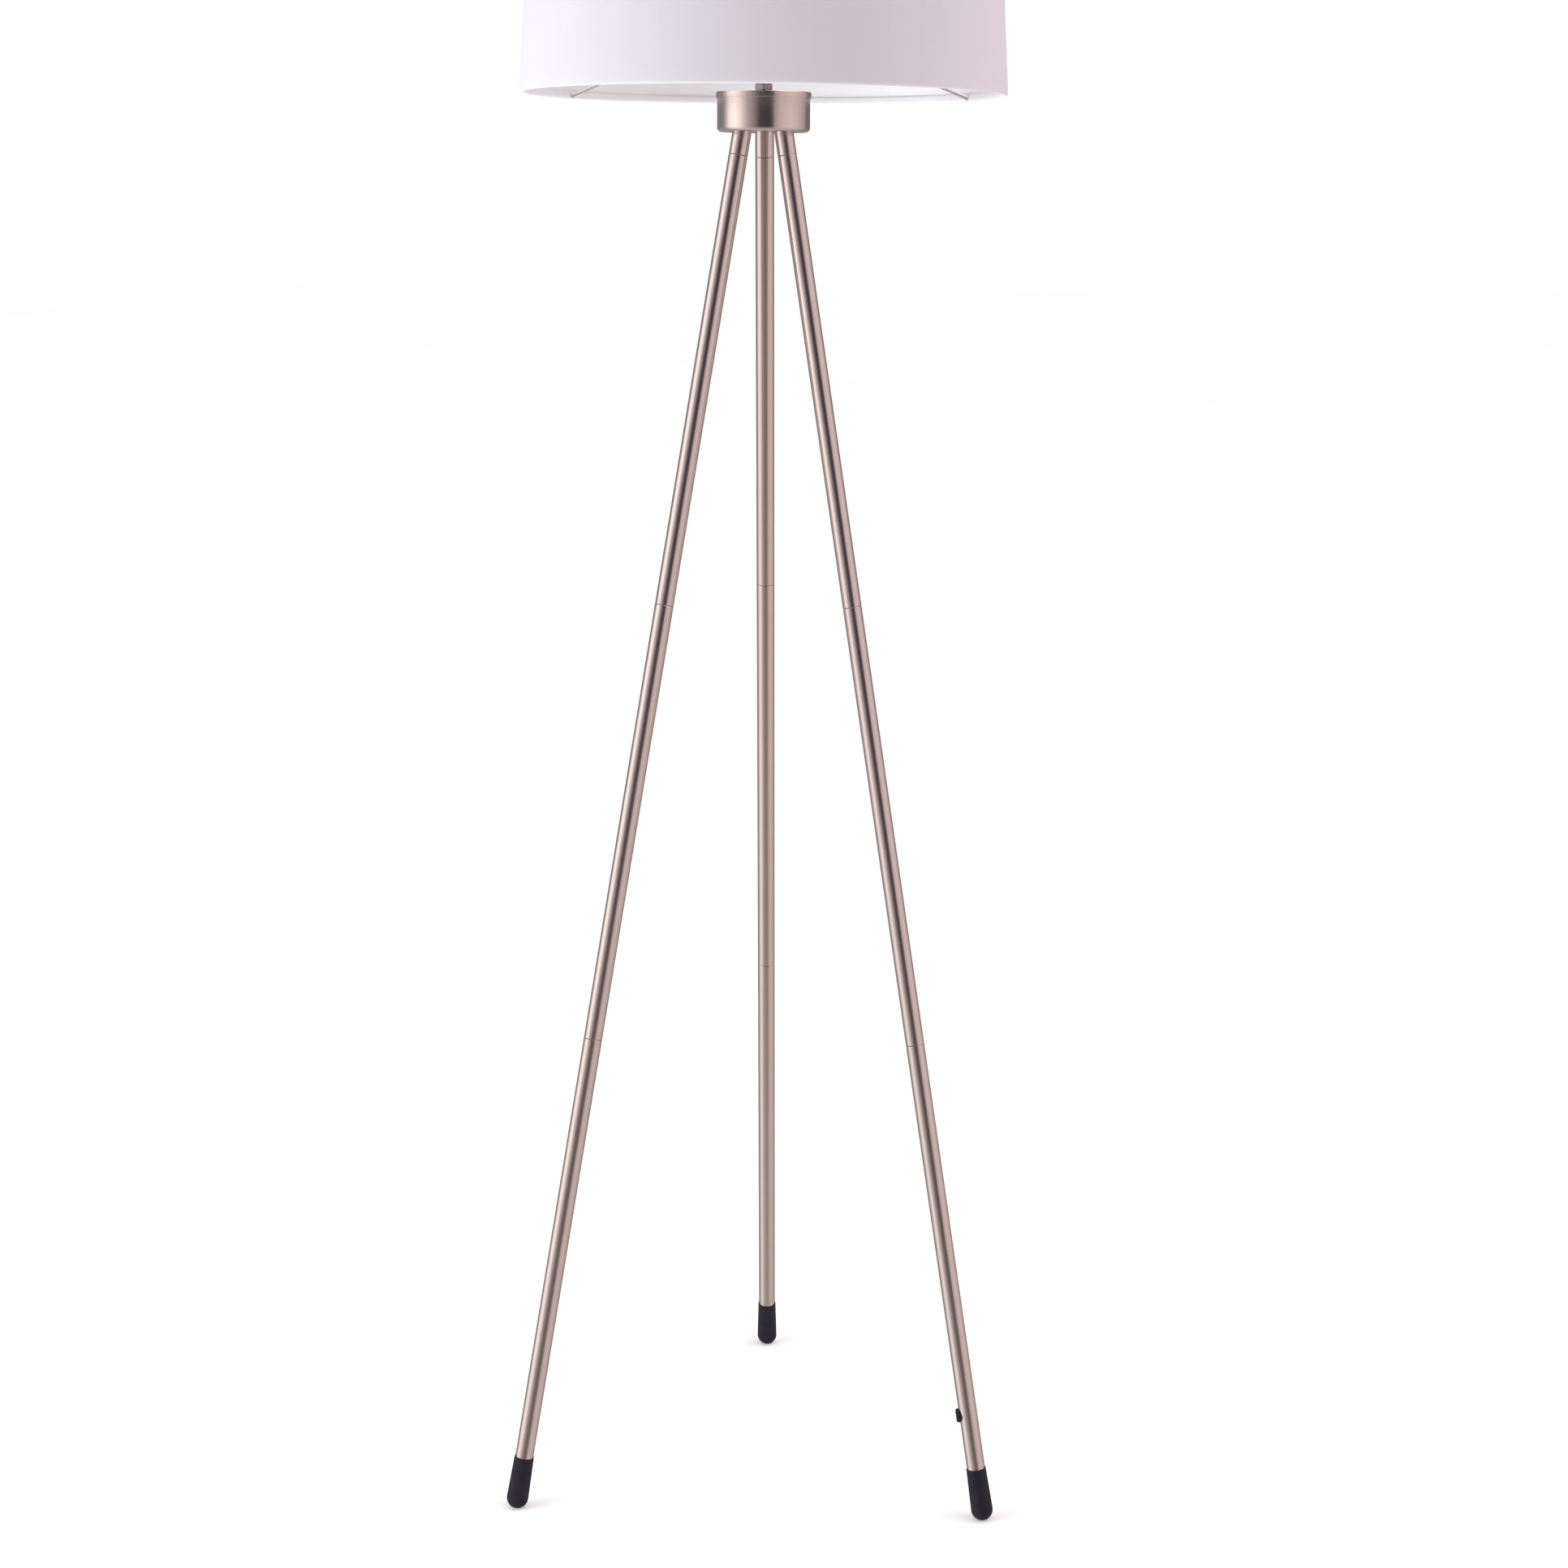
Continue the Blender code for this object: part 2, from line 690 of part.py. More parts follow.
def socket_screw_shell(lamp):
    outer = WELL_RADIUS - GAP
    wall = 0.4 * MM
    bottom = WELL_FLOOR_Z + GAP
    floor_hole = 8.0 * MM
    top = SOCKET_TOP_Z - 1.5 * MM
    profile = [
        (outer, top),
        (outer, bottom),
        (floor_hole, bottom),
        (floor_hole, bottom + wall),
        (outer - wall, bottom + wall),
        (outer - wall, top),
    ]
    return place(turned("socket_screw_shell", profile, ROUND["socket"], brass(), closed=True), lamp)


def socket_centre_contact(lamp):
    bottom = WELL_FLOOR_Z + GAP
    top = BULB_BASE_Z - GAP
    profile = [
        (0.0, top),
        (1.8 * MM, top),
        (2.4 * MM, top - 0.6 * MM),
        (2.4 * MM, bottom + 1.2 * MM),
        (5.0 * MM, bottom + 1.2 * MM),
        (5.0 * MM, bottom),
        (0.0, bottom),
    ]
    return place(turned("socket_centre_contact", profile, ROUND["small"], brass()), lamp)


def switch(lamp):
    """Shaft, rotor and knob on one axis along +X; the parent empty lies on that axis."""
    axis = empty("switch_axis", lamp, (0.0, 0.0, SWITCH_Z), (0.0, pi / 2, 0.0))
    start = -6.0 * MM
    shaft_end = KNOB_START + KNOB_LENGTH - 4.0 * MM
    tip = 0.4 * MM
    shaft = [
        (0.0, shaft_end),
        (SWITCH_SHAFT_RADIUS - tip, shaft_end),
        (SWITCH_SHAFT_RADIUS, shaft_end - tip),
        (SWITCH_SHAFT_RADIUS, start),
        (0.0, start),
    ]
    place(turned("switch_shaft", shaft, ROUND["small"], brass()), axis)
    bore = SWITCH_SHAFT_RADIUS + GAP
    rotor = ring_profile(bore, SWITCH_ROTOR_RADIUS, start + 1.0 * MM, 8.0 * MM)
    place(turned("switch_rotor", rotor, ROUND["small"], phenolic(), closed=True), axis)
    end = KNOB_START + KNOB_LENGTH
    edge = 1.0 * MM
    waist = 1.2 * MM
    knob = [
        (0.0, end),
        (KNOB_RADIUS - edge, end),
        (KNOB_RADIUS, end - edge),
        (KNOB_RADIUS, KNOB_START + 4.0 * MM),
        (KNOB_RADIUS - waist, KNOB_START + 3.0 * MM),
        (KNOB_RADIUS - waist, KNOB_START),
        (bore, KNOB_START),
        (bore, shaft_end + GAP),
        (0.0, shaft_end + GAP),
    ]
    place(turned("switch_knob", knob, ROUND["small"], phenolic()), axis)


# ---------------------------------------------------------------- bulb

def bulb_contact(lamp):
    z = BULB_BASE_Z
    profile = [
        (0.0, z + 2.6 * MM),
        (4.4 * MM, z + 2.6 * MM),
        (4.4 * MM, z + 1.6 * MM),
        (2.6 * MM, z),
        (0.0, z),
    ]
    return place(turned("bulb_contact", profile, ROUND["small"], brass()), lamp)


def bulb_cap(lamp):
    """The screw cap: a thin shell with rounded threads, drawn in round the contact."""
    bottom = BULB_BASE_Z + 1.4 * MM
    shoulder = bottom + 4.6 * MM
    top = BULB_BASE_Z + BULB_CAP_LENGTH
    depth = 0.8 * MM
    threads = []
    steps = 2 * BULB_THREADS
    for i in range(steps + 1):
        radius = BULB_CAP_RADIUS - (depth if i % 2 else 0.0)
        threads.append((radius, top - 3.0 * MM - (top - 3.0 * MM - shoulder) * i / steps))
    outer = [(BULB_CAP_RADIUS - depth / 2, top)] + threads
    throat = 4.4 * MM + GAP
    outer.append((throat + 4.4 * MM, shoulder - 2.2 * MM))
    outer.append((throat, bottom + 1.2 * MM))
    wall = 0.4 * MM
    inner_radius = BULB_CAP_RADIUS - depth - wall
    inner = [
        (throat, bottom + 1.8 * MM),
        (throat + 4.0 * MM, shoulder - 1.4 * MM),
        (inner_radius, shoulder + 1.2 * MM),
        (inner_radius, top),
    ]
    profile = outer + inner
    return place(turned("bulb_cap", profile, ROUND["socket"], cap_metal(), closed=True), lamp)


def bulb_glass(lamp):
    """A pear-shaped glass envelope: a ball over a cone that runs into the neck."""
    centre = BULB_BASE_Z + BULB_LENGTH - BULB_RADIUS
    neck_radius = BULB_CAP_RADIUS - 1.6 * MM
    neck_bottom = BULB_BASE_Z + BULB_CAP_LENGTH - 3.5 * MM
    flare_radius = neck_radius + 2.2 * MM
    flare_top = BULB_BASE_Z + BULB_CAP_LENGTH + 5.0 * MM
    flare_height = 4.0 * MM
    hollow = 0.4 * MM
    ball_end_angle = -38.0

    def envelope(offset, steps):
        ball = arc((0.0, centre), BULB_RADIUS - offset, 90.0, ball_end_angle, steps)
        ball[0] = (0.0, ball[0][1])
        last = ball[-1]
        flare = flare_radius - offset
        middle = ((last[0] + flare) / 2 - hollow, (last[1] + flare_top) / 2)
        neck = neck_radius - offset
        return ball + [middle, (flare, flare_top), (neck, flare_top - flare_height), (neck, neck_bottom)]

    profile = envelope(0.0, 8) + list(reversed(envelope(GLASS_WALL, 5)))
    return place(turned("bulb_glass", profile, ROUND["socket"], frosted_glass()), lamp)


# ---------------------------------------------------------------- shade

def shade_radius(z):
    """The outer radius of the shade's cone at a height."""
    share = (z - SHADE_BOTTOM_Z) / SHADE_HEIGHT
    return SHADE_BOTTOM_RADIUS + (SHADE_TOP_RADIUS - SHADE_BOTTOM_RADIUS) * share


def wire_centres():
    """Radius and height of the bottom and top wires' centre lines, inside the rolled edges."""
    wrap = WIRE_RADIUS + GAP + FABRIC
    low_z = SHADE_BOTTOM_Z + wrap
    high_z = SHADE_BOTTOM_Z + SHADE_HEIGHT - wrap
    return (SHADE_BOTTOM_RADIUS - wrap, low_z), (SHADE_TOP_RADIUS - wrap, high_z)


def shade_fabric(shade):
    """The cloth cone, rolled round the wire at each edge and turned up inside."""
    wrap = WIRE_RADIUS + GAP + FABRIC
    low, high = wire_centres()
    profile = [(high[0] - wrap, high[1] - HEM_TAIL)]
    profile += arc(high, wrap, 180.0, 0.0, 4)
    profile += arc(low, wrap, 0.0, -180.0, 4)
    profile.append((low[0] - wrap, low[1] + HEM_TAIL))
    obj = turned("shade_fabric", profile, ROUND["fine"], linen(), wall=FABRIC)
    place(obj, shade)
    for where in SPOKE_AZIMUTHS:
        cut(obj, hem_slit(where, shade))
    return fix(obj, linen())


def hem_slit(where, shade):
    """A short round cutter that opens the turned-up hem where a spoke reaches the wire."""
    turn = radians(SPOKE_AZIMUTHS[where])
    depth = 8.0 * MM
    past_the_end = 0.6 * MM
    start, end = start_of_spoke(), end_of_spoke()
    middle = end[0] - depth / 2 + past_the_end
    slope = (end[1] - start[1]) / (end[0] - start[0])
    height = end[1] + slope * (middle - end[0])
    location = (middle * cos(turn), middle * sin(turn), height)
    clear = 0.5 * MM
    return cutter("hem_slit_" + where, SPOKE_RADIUS + clear, depth, ROUND["small"], shade,
                  location, (0.0, pi / 2 - slope, turn))


def shade_liner(shade):
    """The stiff liner behind the cloth, between the two wires."""
    low, high = wire_centres()
    clear = WIRE_RADIUS + 2.0 * GAP
    bottom = low[1] + clear
    top = high[1] - clear
    behind = FABRIC + 2.0 * GAP
    profile = [
        (shade_radius(top) - behind, top),
        (shade_radius(bottom) - behind, bottom),
        (shade_radius(bottom) - behind - LINER, bottom),
        (shade_radius(top) - behind - LINER, top),
    ]
    return place(turned("shade_liner", profile, ROUND["fine"], styrene(), closed=True), shade)


def wire_ring(name, centre, shade):
    profile = arc(centre, WIRE_RADIUS, 90.0, -270.0, 6)[:-1]
    return place(turned(name, profile, ROUND["fine"], plated_wire(), closed=True), shade)


def fitter_height():
    return SHOULDER_Z + GAP


def shade_fitter_ring(shade):
    bottom = fitter_height()
    profile = ring_profile(FITTER_INNER, FITTER_OUTER, bottom, bottom + FITTER_THICKNESS)
    ring = turned("shade_fitter_ring", profile, ROUND["ring"], plated_wire(), closed=True)
    return place(ring, shade)


def start_of_spoke():
    """Radius and height where a spoke's slope begins, just outside the fitter ring."""
    return FITTER_OUTER + SPOKE_FLAT, fitter_height() + FITTER_THICKNESS / 2


def end_of_spoke():
    """Radius and height where a spoke meets the bottom wire."""
    low = wire_centres()[0]
    return low[0] - WIRE_RADIUS - 2.0 * GAP, low[1] + GAP


def shade_spoke(where, shade):
    """A straight wire from the fitter ring down and out to the bottom wire."""
    azimuth = radians(SPOKE_AZIMUTHS[where])
    bend = start_of_spoke()
    points = []
    for radius, z in ((FITTER_OUTER + GAP, bend[1]), bend, end_of_spoke()):
        points.append((radius * cos(azimuth), radius * sin(azimuth), z))
    return rod("shade_spoke_" + where, points, SPOKE_RADIUS, plated_wire(), shade)


def shade_ring_nut(lamp):
    """The threaded collar that holds the fitter ring down on the socket's shoulder."""
    bottom = fitter_height() + FITTER_THICKNESS + GAP
    top = bottom + RING_NUT_HEIGHT
    inner = SOCKET_THREAD_RADIUS + GAP
    flange = 3.0 * MM
    step = 1.6 * MM
    profile = [
        (inner, top),
        (RING_NUT_RADIUS - step, top),
        (RING_NUT_RADIUS - step, bottom + flange + 0.6 * MM),
        (RING_NUT_RADIUS, bottom + flange),
        (RING_NUT_RADIUS, bottom),
        (inner, bottom),
    ]
    return place(turned("shade_ring_nut", profile, ROUND["ring"], phenolic(), closed=True), lamp)


def build_shade(lamp):
    shade = empty("shade_axis", lamp)
    low, high = wire_centres()
    shade_fabric(shade)
    shade_liner(shade)
    wire_ring("shade_bottom_wire", low, shade)
    wire_ring("shade_top_wire", high, shade)
    shade_fitter_ring(shade)
    for where in SPOKE_AZIMUTHS:
        shade_spoke(where, shade)


# ---------------------------------------------------------------- the lamp

def build_lamp():
    lamp = empty("lamp_axis", None, (0.0, AXIS_Y, 0.0))
    axes = {}
    for side in LEG_AZIMUTHS:
        axes[side], tubes = leg(side, lamp)
        if side == "right":
            cord_grommet(tubes[2])
    hub_cup(lamp, axes)
    hub_core(lamp, axes)
    hub_cover(lamp)
    lamp_pipe(lamp)
    hex_nut("pipe_jam_nut", CORE_TOP_Z + GAP, lamp)
    cover_washer(lamp)
    hex_nut("cover_nut", HUB_TOP_Z + WASHER_HEIGHT + 2.0 * GAP, lamp)
    socket_cap(lamp)
    socket_body(lamp)
    socket_screw_shell(lamp)
    socket_centre_contact(lamp)
    switch(lamp)
    shade_ring_nut(lamp)
    bulb_contact(lamp)
    bulb_cap(lamp)
    bulb_glass(lamp)
    build_shade(lamp)


clear_scene()
make_collections()
build_lamp()
bpy.context.view_layer.update()
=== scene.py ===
import json
from math import atan2, cos, pi, radians, sin, tan

import bmesh
import bpy
import numpy as np
from mathutils import Matrix, Vector


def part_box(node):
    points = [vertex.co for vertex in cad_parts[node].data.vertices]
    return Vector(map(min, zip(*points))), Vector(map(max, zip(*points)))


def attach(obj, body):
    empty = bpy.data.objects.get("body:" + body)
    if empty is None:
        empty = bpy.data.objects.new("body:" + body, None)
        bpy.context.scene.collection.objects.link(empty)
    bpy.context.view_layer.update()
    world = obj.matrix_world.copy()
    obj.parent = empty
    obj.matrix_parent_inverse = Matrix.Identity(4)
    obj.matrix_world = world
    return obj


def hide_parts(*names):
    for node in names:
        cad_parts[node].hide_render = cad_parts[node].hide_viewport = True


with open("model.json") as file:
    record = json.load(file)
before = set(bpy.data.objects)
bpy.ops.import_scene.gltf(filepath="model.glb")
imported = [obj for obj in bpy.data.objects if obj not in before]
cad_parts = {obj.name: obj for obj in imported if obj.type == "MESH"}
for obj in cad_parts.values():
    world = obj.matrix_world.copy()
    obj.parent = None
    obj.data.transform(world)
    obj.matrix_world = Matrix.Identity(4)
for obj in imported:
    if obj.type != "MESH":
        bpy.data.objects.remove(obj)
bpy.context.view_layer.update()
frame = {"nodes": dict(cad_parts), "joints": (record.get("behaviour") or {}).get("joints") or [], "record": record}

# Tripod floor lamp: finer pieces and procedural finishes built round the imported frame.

MM = 0.001
GAP = 0.3 * MM  # the clearance that the CAD keeps between touching pieces
SHARP_ANGLE = radians(38.0)
SIDES = ("rear", "left", "right")
SECTIONS = ("upper", "middle", "lower")

JOINTS = {joint["name"]: joint for joint in frame["joints"]}
LAMP = Vector((JOINTS["shade_swivel"]["pos_m"][0], JOINTS["shade_swivel"]["pos_m"][1], 0.0))
LAMP_FRAME = Matrix.Translation(LAMP)
WORLD = Matrix()


# ---- camera, light, floor

# Metres and radians; the lens is in millimetres on a 36 mm sensor, the shift in widths of the picture.
CAMERA_LENS = 60.17516
CAMERA_SHIFT = (0.000259, -0.036232)
CAMERA_DISTANCE = 2.24413
CAMERA_HEIGHT = 1.12097
CAMERA_ROUND = 0.04634  # how far round the lamp it stands
CAMERA_YAW = -0.00921
CAMERA_PITCH = 0.19405
CAMERA_ROLL = 0.00783


def make_camera():
    data = bpy.data.cameras.new("camera")
    data.sensor_fit = "HORIZONTAL"
    data.sensor_width = 36.0
    data.lens = CAMERA_LENS
    data.shift_x, data.shift_y = CAMERA_SHIFT
    data.clip_start, data.clip_end = 0.05, 100.0
    heading = CAMERA_ROUND + CAMERA_YAW
    level = Vector((-sin(heading), cos(heading), 0.0))
    side = Vector((cos(heading), sin(heading), 0.0))
    forward = level * cos(CAMERA_PITCH) - Vector((0, 0, sin(CAMERA_PITCH)))
    raised = level * sin(CAMERA_PITCH) + Vector((0, 0, cos(CAMERA_PITCH)))
    right = side * cos(CAMERA_ROLL) + raised * sin(CAMERA_ROLL)
    up = raised * cos(CAMERA_ROLL) - side * sin(CAMERA_ROLL)
    turn = Matrix((right, up, -forward)).transposed().to_4x4()
    spot = LAMP + CAMERA_DISTANCE * Vector((sin(CAMERA_ROUND), -cos(CAMERA_ROUND), 0.0))
    spot.z = CAMERA_HEIGHT
    camera = bpy.data.objects.new("camera", data)
    camera.matrix_world = Matrix.Translation(spot) @ turn
    bpy.context.scene.collection.objects.link(camera)
    bpy.context.scene.camera = camera
    bpy.context.scene.view_settings.view_transform = "Standard"


def node(tree, kind, links=None, **settings):
    """A shader node; links gives its inputs, as plain values or as other nodes' outputs."""
    made = tree.nodes.new("ShaderNode" + kind)
    for key, value in settings.items():
        setattr(made, key, value)
    for key, value in (links or {}).items():
        if isinstance(value, bpy.types.NodeSocket):
            tree.links.new(value, made.inputs[key])
        else:
            made.inputs[key].default_value = value
    return made


def calc(operation, *values):
    """A Math node in the tree that its first socket belongs to."""
    tree = next(value.id_data for value in values if isinstance(value, bpy.types.NodeSocket))
    return node(tree, "Math", dict(enumerate(values)), operation=operation).outputs[0]


def times(first, second):
    return calc("MULTIPLY", first, second)


def plus(first, second):
    return calc("ADD", first, second)


def ramp(factor, stops, interpolation="LINEAR"):
    """A colour ramp from (place, colour) stops, where a plain number is a grey."""
    made = node(factor.id_data, "ValToRGB", {"Fac": factor})
    made.color_ramp.interpolation = interpolation
    elements = made.color_ramp.elements
    while len(elements) < len(stops):
        elements.new(0.5)
    for element, (place, colour) in zip(elements, stops):
        element.position = place
        rgb = (colour,) * 3 if isinstance(colour, (int, float)) else colour
        element.color = (*rgb, 1.0)
    return made.outputs["Color"]


# Studio light by compass angle in degrees, from the camera's side (0) to the right (+) and left (-):
# the walls' brightness, the ceiling's, and the tint. A big soft box stands on the left and a dimmer,
# warmer one on the right, with a dark room between and behind them.
CLEAR, COOL = (1.0, 0.985, 1.0), (1.0, 0.94, 1.02)
VIOLET, ROSE = (0.98, 0.88, 1.08), (1.0, 0.89, 0.915)
STUDIO = (
    (-180, 0.3, 0.8, CLEAR), (-138, 0.24, 1.0, CLEAR), (-118, 0.26, 1.1, CLEAR),
    (-106, 0.52, 1.1, CLEAR), (-92, 1.16, 1.1, CLEAR), (-76, 1.38, 1.1, CLEAR),
    (-62, 1.2, 1.0, CLEAR), (-50, 0.86, 0.9, COOL), (-38, 0.54, 0.7, COOL),
    (-26, 0.36, 0.45, COOL), (-13, 0.175, 0.25, VIOLET), (-6, 0.075, 0.18, VIOLET),
    (17, 0.055, 0.18, VIOLET), (24, 0.11, 0.45, ROSE), (32, 0.46, 0.9, ROSE),
    (46, 0.67, 1.4, ROSE), (76, 0.79, 2.0, ROSE), (98, 0.66, 2.0, ROSE),
    (120, 0.48, 1.6, ROSE), (136, 0.19, 1.0, CLEAR), (160, 0.18, 0.8, CLEAR),
    (180, 0.3, 0.8, CLEAR),
)
STUDIO_PEAK = 2.0  # the table's highest, because a ramp only holds 0 to 1
GROUND = 0.5
GROUND_TINT = (1.0, 0.93, 0.92)
WALL_TO_CEILING = [(0.37, 0.0), (0.62, 1.0)]
WALL_TO_GROUND = [(0.06, 0.0), (0.20, 0.24), (0.30, 0.31), (0.50, 0.36), (0.72, 0.8)]


def studio_colour(level, tint):
    return tuple(level * t / STUDIO_PEAK for t in tint)


def make_world():
    world = bpy.data.worlds.new("studio")
    bpy.context.scene.world = world
    world.use_nodes = True
    tree = world.node_tree
    tree.nodes.clear()
    way = node(tree, "TexCoord").outputs["Generated"]
    x, y, z = node(tree, "SeparateXYZ", {0: way}).outputs
    angle = calc("ARCTAN2", x, times(y, -1.0))
    place = calc("MULTIPLY_ADD", angle, 1.0 / (2.0 * pi), 0.5)
    turns = [entry[0] / 360.0 + 0.5 for entry in STUDIO]
    wall_colours = [studio_colour(wall, tint) for _, wall, _, tint in STUDIO]
    roof_colours = [studio_colour(roof, tint) for _, _, roof, tint in STUDIO]
    walls = ramp(place, list(zip(turns, wall_colours)))
    ceiling = ramp(place, list(zip(turns, roof_colours)))
    high = ramp(z, WALL_TO_CEILING, "EASE")
    below = ramp(times(z, -1.0), WALL_TO_GROUND)
    room = mix(high, mix(below, walls, studio_colour(GROUND, GROUND_TINT)), ceiling)
    lit = node(tree, "Background", {"Color": room, "Strength": STUDIO_PEAK})
    plain = node(tree, "Background", {"Color": (1, 1, 1, 1), "Strength": 1.0})
    seen = node(tree, "LightPath").outputs["Is Camera Ray"]
    mixed = node(tree, "MixShader", {0: seen, 1: lit.outputs[0], 2: plain.outputs[0]})
    tree.links.new(mixed.outputs[0], node(tree, "OutputWorld").inputs["Surface"])


def make_light(name, spot, aim, size, power, colour):
    """A soft round lamp that shades matt surfaces but makes no highlight."""
    data = bpy.data.lights.new(name, "AREA")
    data.shape, data.size, data.energy, data.color = "DISK", size, power, colour
    light = bpy.data.objects.new(name, data)
    light.location = spot
    light.rotation_mode = "QUATERNION"
    light.rotation_quaternion = (Vector(aim) - Vector(spot)).to_track_quat("-Z", "Y")
    light.visible_camera = light.visible_glossy = False
    bpy.context.scene.collection.objects.link(light)


FLOOR_RADIUS = 40.0
FLOOR_COLOUR = (0.92, 0.92, 0.92)
FLOOR_GLOW = 0.22


def make_floor():
    work = bmesh.new()
    bmesh.ops.create_circle(work, cap_ends=True, radius=FLOOR_RADIUS, segments=64)
    floor = new_object("floor", work)
    floor.visible_glossy = False
    material, tree, shader = finish(
        "studio_floor", FLOOR_COLOUR, 0.9, Specular_IOR_Level=0.0,
        Emission_Color=(1.0, 1.0, 1.0, 1.0), Emission_Strength=FLOOR_GLOW)
    mottle = node(tree, "TexNoise", {"Scale": 30.0, "Detail": 4.0}).outputs["Fac"]
    tree.links.new(ramp(mottle, [(0.3, 0.90), (0.7, 0.93)]), shader.inputs["Base Color"])
    floor.data.materials.append(material)


# ---- finishes

def finish(name, colour, roughness, metallic=0.0, **more):
    """A new Principled material; the keywords are the shader's other plain values."""
    material = bpy.data.materials.new(name)
    material.use_nodes = True
    tree = material.node_tree
    shader = tree.nodes["Principled BSDF"]
    shader.inputs["Base Color"].default_value = (*colour, 1.0)
    shader.inputs["Roughness"].default_value = roughness
    shader.inputs["Metallic"].default_value = metallic
    for key, value in more.items():
        shader.inputs[key.replace("_", " ")].default_value = value
    return material, tree, shader


def here(tree):
    """The piece's own coordinates."""
    return node(tree, "TexCoord").outputs["Object"]


def noise(vector, scale, detail=3.0, roughness=0.5):
    links = {"Vector": vector, "Scale": scale, "Detail": detail, "Roughness": roughness}
    return node(vector.id_data, "TexNoise", links).outputs["Fac"]


def grain(tree, scale, detail=3.0, roughness=0.5):
    return noise(here(tree), scale, detail, roughness)


def patchy(tree, scale, detail, low, high, roughness=0.5, most=1.0):
    """Soft patches in the piece's own coordinates, from 0 where the noise is low to most."""
    return ramp(grain(tree, scale, detail, roughness), [(low, 0.0), (high, most)])


def turned_lines(tree, pitch, length, detail=3.0, roughness=0.5):
    """Noise drawn out into fine lines round the piece's own Z axis."""
    x, y, z = node(tree, "SeparateXYZ", {0: here(tree)}).outputs
    reach = calc("SQRT", plus(times(x, x), times(y, y)))
    safe = calc("MAXIMUM", reach, 1e-5)
    along = times(plus(reach, z), 1.0 / pitch)
    east = times(calc("DIVIDE", x, safe), 1.0 / length)
    north = times(calc("DIVIDE", y, safe), 1.0 / length)
    spot = node(tree, "CombineXYZ", {0: along, 1: east, 2: north}).outputs[0]
    return noise(spot, 1.0, detail, roughness)


def mix(factor, first, second):
    first, second = [(*c, 1.0) if isinstance(c, tuple) else c for c in (first, second)]
    links = {"Fac": factor, "Color1": first, "Color2": second}
    return node(factor.id_data, "MixRGB", links).outputs[0]


def shift(value, low, high):
    """A 0 to 1 value stretched to run from low to high."""
    return calc("MULTIPLY_ADD", value, high - low, low)


def paint(shader, colour, roughness):
    colour.id_data.links.new(colour, shader.inputs["Base Color"])
    colour.id_data.links.new(roughness, shader.inputs["Roughness"])


def bump(shader, height, depth, strength):
    links = {"Height": height, "Distance": depth, "Strength": strength}
    made = node(height.id_data, "Bump", links)
    height.id_data.links.new(made.outputs[0], shader.inputs["Normal"])


def wear_and_hem_light_mask(tree):
    """1 on a piece's rounded edges and 0 elsewhere, as its mesh says; on the shade's cloth it marks the turned-in
    hems instead, for their painted light.
    """
    return node(tree, "Attribute", attribute_name="wear_and_hem_light").outputs["Fac"]


def worn(tree):
    """How worn the surface is: high on rounded edges, broken up by noise."""
    return times(wear_and_hem_light_mask(tree), patchy(tree, 420.0, 4.0, 0.45, 0.7))


def brushed(name, colour, bright, roughness, spread):
    """Metal brushed round its own axis: fine lines, faint stains and bright worn edges."""
    material, tree, shader = finish(
        name, colour, roughness, 1.0, Anisotropic=spread, Anisotropic_Rotation=0.25)
    fine = turned_lines(tree, 0.35 * MM, 0.12, roughness=0.65)
    coarse = turned_lines(tree, 2.4 * MM, 0.5, 2.0)
    stain = patchy(tree, 38.0, 5.0, 0.35, 0.75, 0.6, most=0.4)
    tint = mix(stain, colour, tuple(c * 0.9 for c in colour))
    lines = mix(ramp(fine, [(0.3, 0.0), (0.7, 0.3)]), tint, bright)
    streaks = shift(fine, roughness - 0.08, roughness + 0.07)
    rough = plus(streaks, shift(coarse, -0.02, 0.02))
    rough = calc("SUBTRACT", rough, times(worn(tree), 0.08))
    paint(shader, mix(times(worn(tree), 0.6), lines, bright), rough)
    tangent = node(tree, "Tangent", direction_type="RADIAL", axis="Z").outputs[0]
    tree.links.new(tangent, shader.inputs["Tangent"])
    bump(shader, fine, 0.004 * MM, 0.6)
    return material


def plain_metal(name, colour, dark, roughness, scale, pitch=0.8 * MM):
    """Plated, rolled or cast metal: fine grain, faint turning marks, dull patches, bright edges."""
    material, tree, shader = finish(name, colour, roughness, 1.0)
    skin = grain(tree, scale, 5.0, 0.6)
    marks = turned_lines(tree, pitch, 0.4, 2.0)
    patches = patchy(tree, scale / 14.0, 4.0, 0.4, 0.72)
    tint = mix(times(patches, 0.5), colour, dark)
    bright = tuple(min(1.0, c * 1.2) for c in colour)
    rough = shift(skin, roughness - 0.07, roughness + 0.09)
    rough = plus(rough, times(patches, 0.08))
    paint(shader, mix(worn(tree), tint, bright), rough)
    height = plus(times(skin, 0.6), times(marks, 0.5))
    bump(shader, height, 0.02 * MM, 0.7)
    return material


def moulded(name, colour, light, roughness, scale, depth, **more):
    """Moulded rubber or plastic: a fine pebbled skin, paler dusty patches and worn edges."""
    material, tree, shader = finish(name, colour, roughness, 0.0, **more)
    skin = grain(tree, scale, 4.0, 0.6)
    dust = patchy(tree, scale / 22.0, 6.0, 0.42, 0.8, 0.65)
    tint = mix(times(dust, 0.35), colour, light)
    rough = shift(skin, roughness - 0.08, roughness + 0.08)
    rough = plus(rough, times(dust, 0.1))
    paint(shader, mix(times(worn(tree), 0.5), tint, light), rough)
    bump(shader, skin, depth, 0.8)
    return material


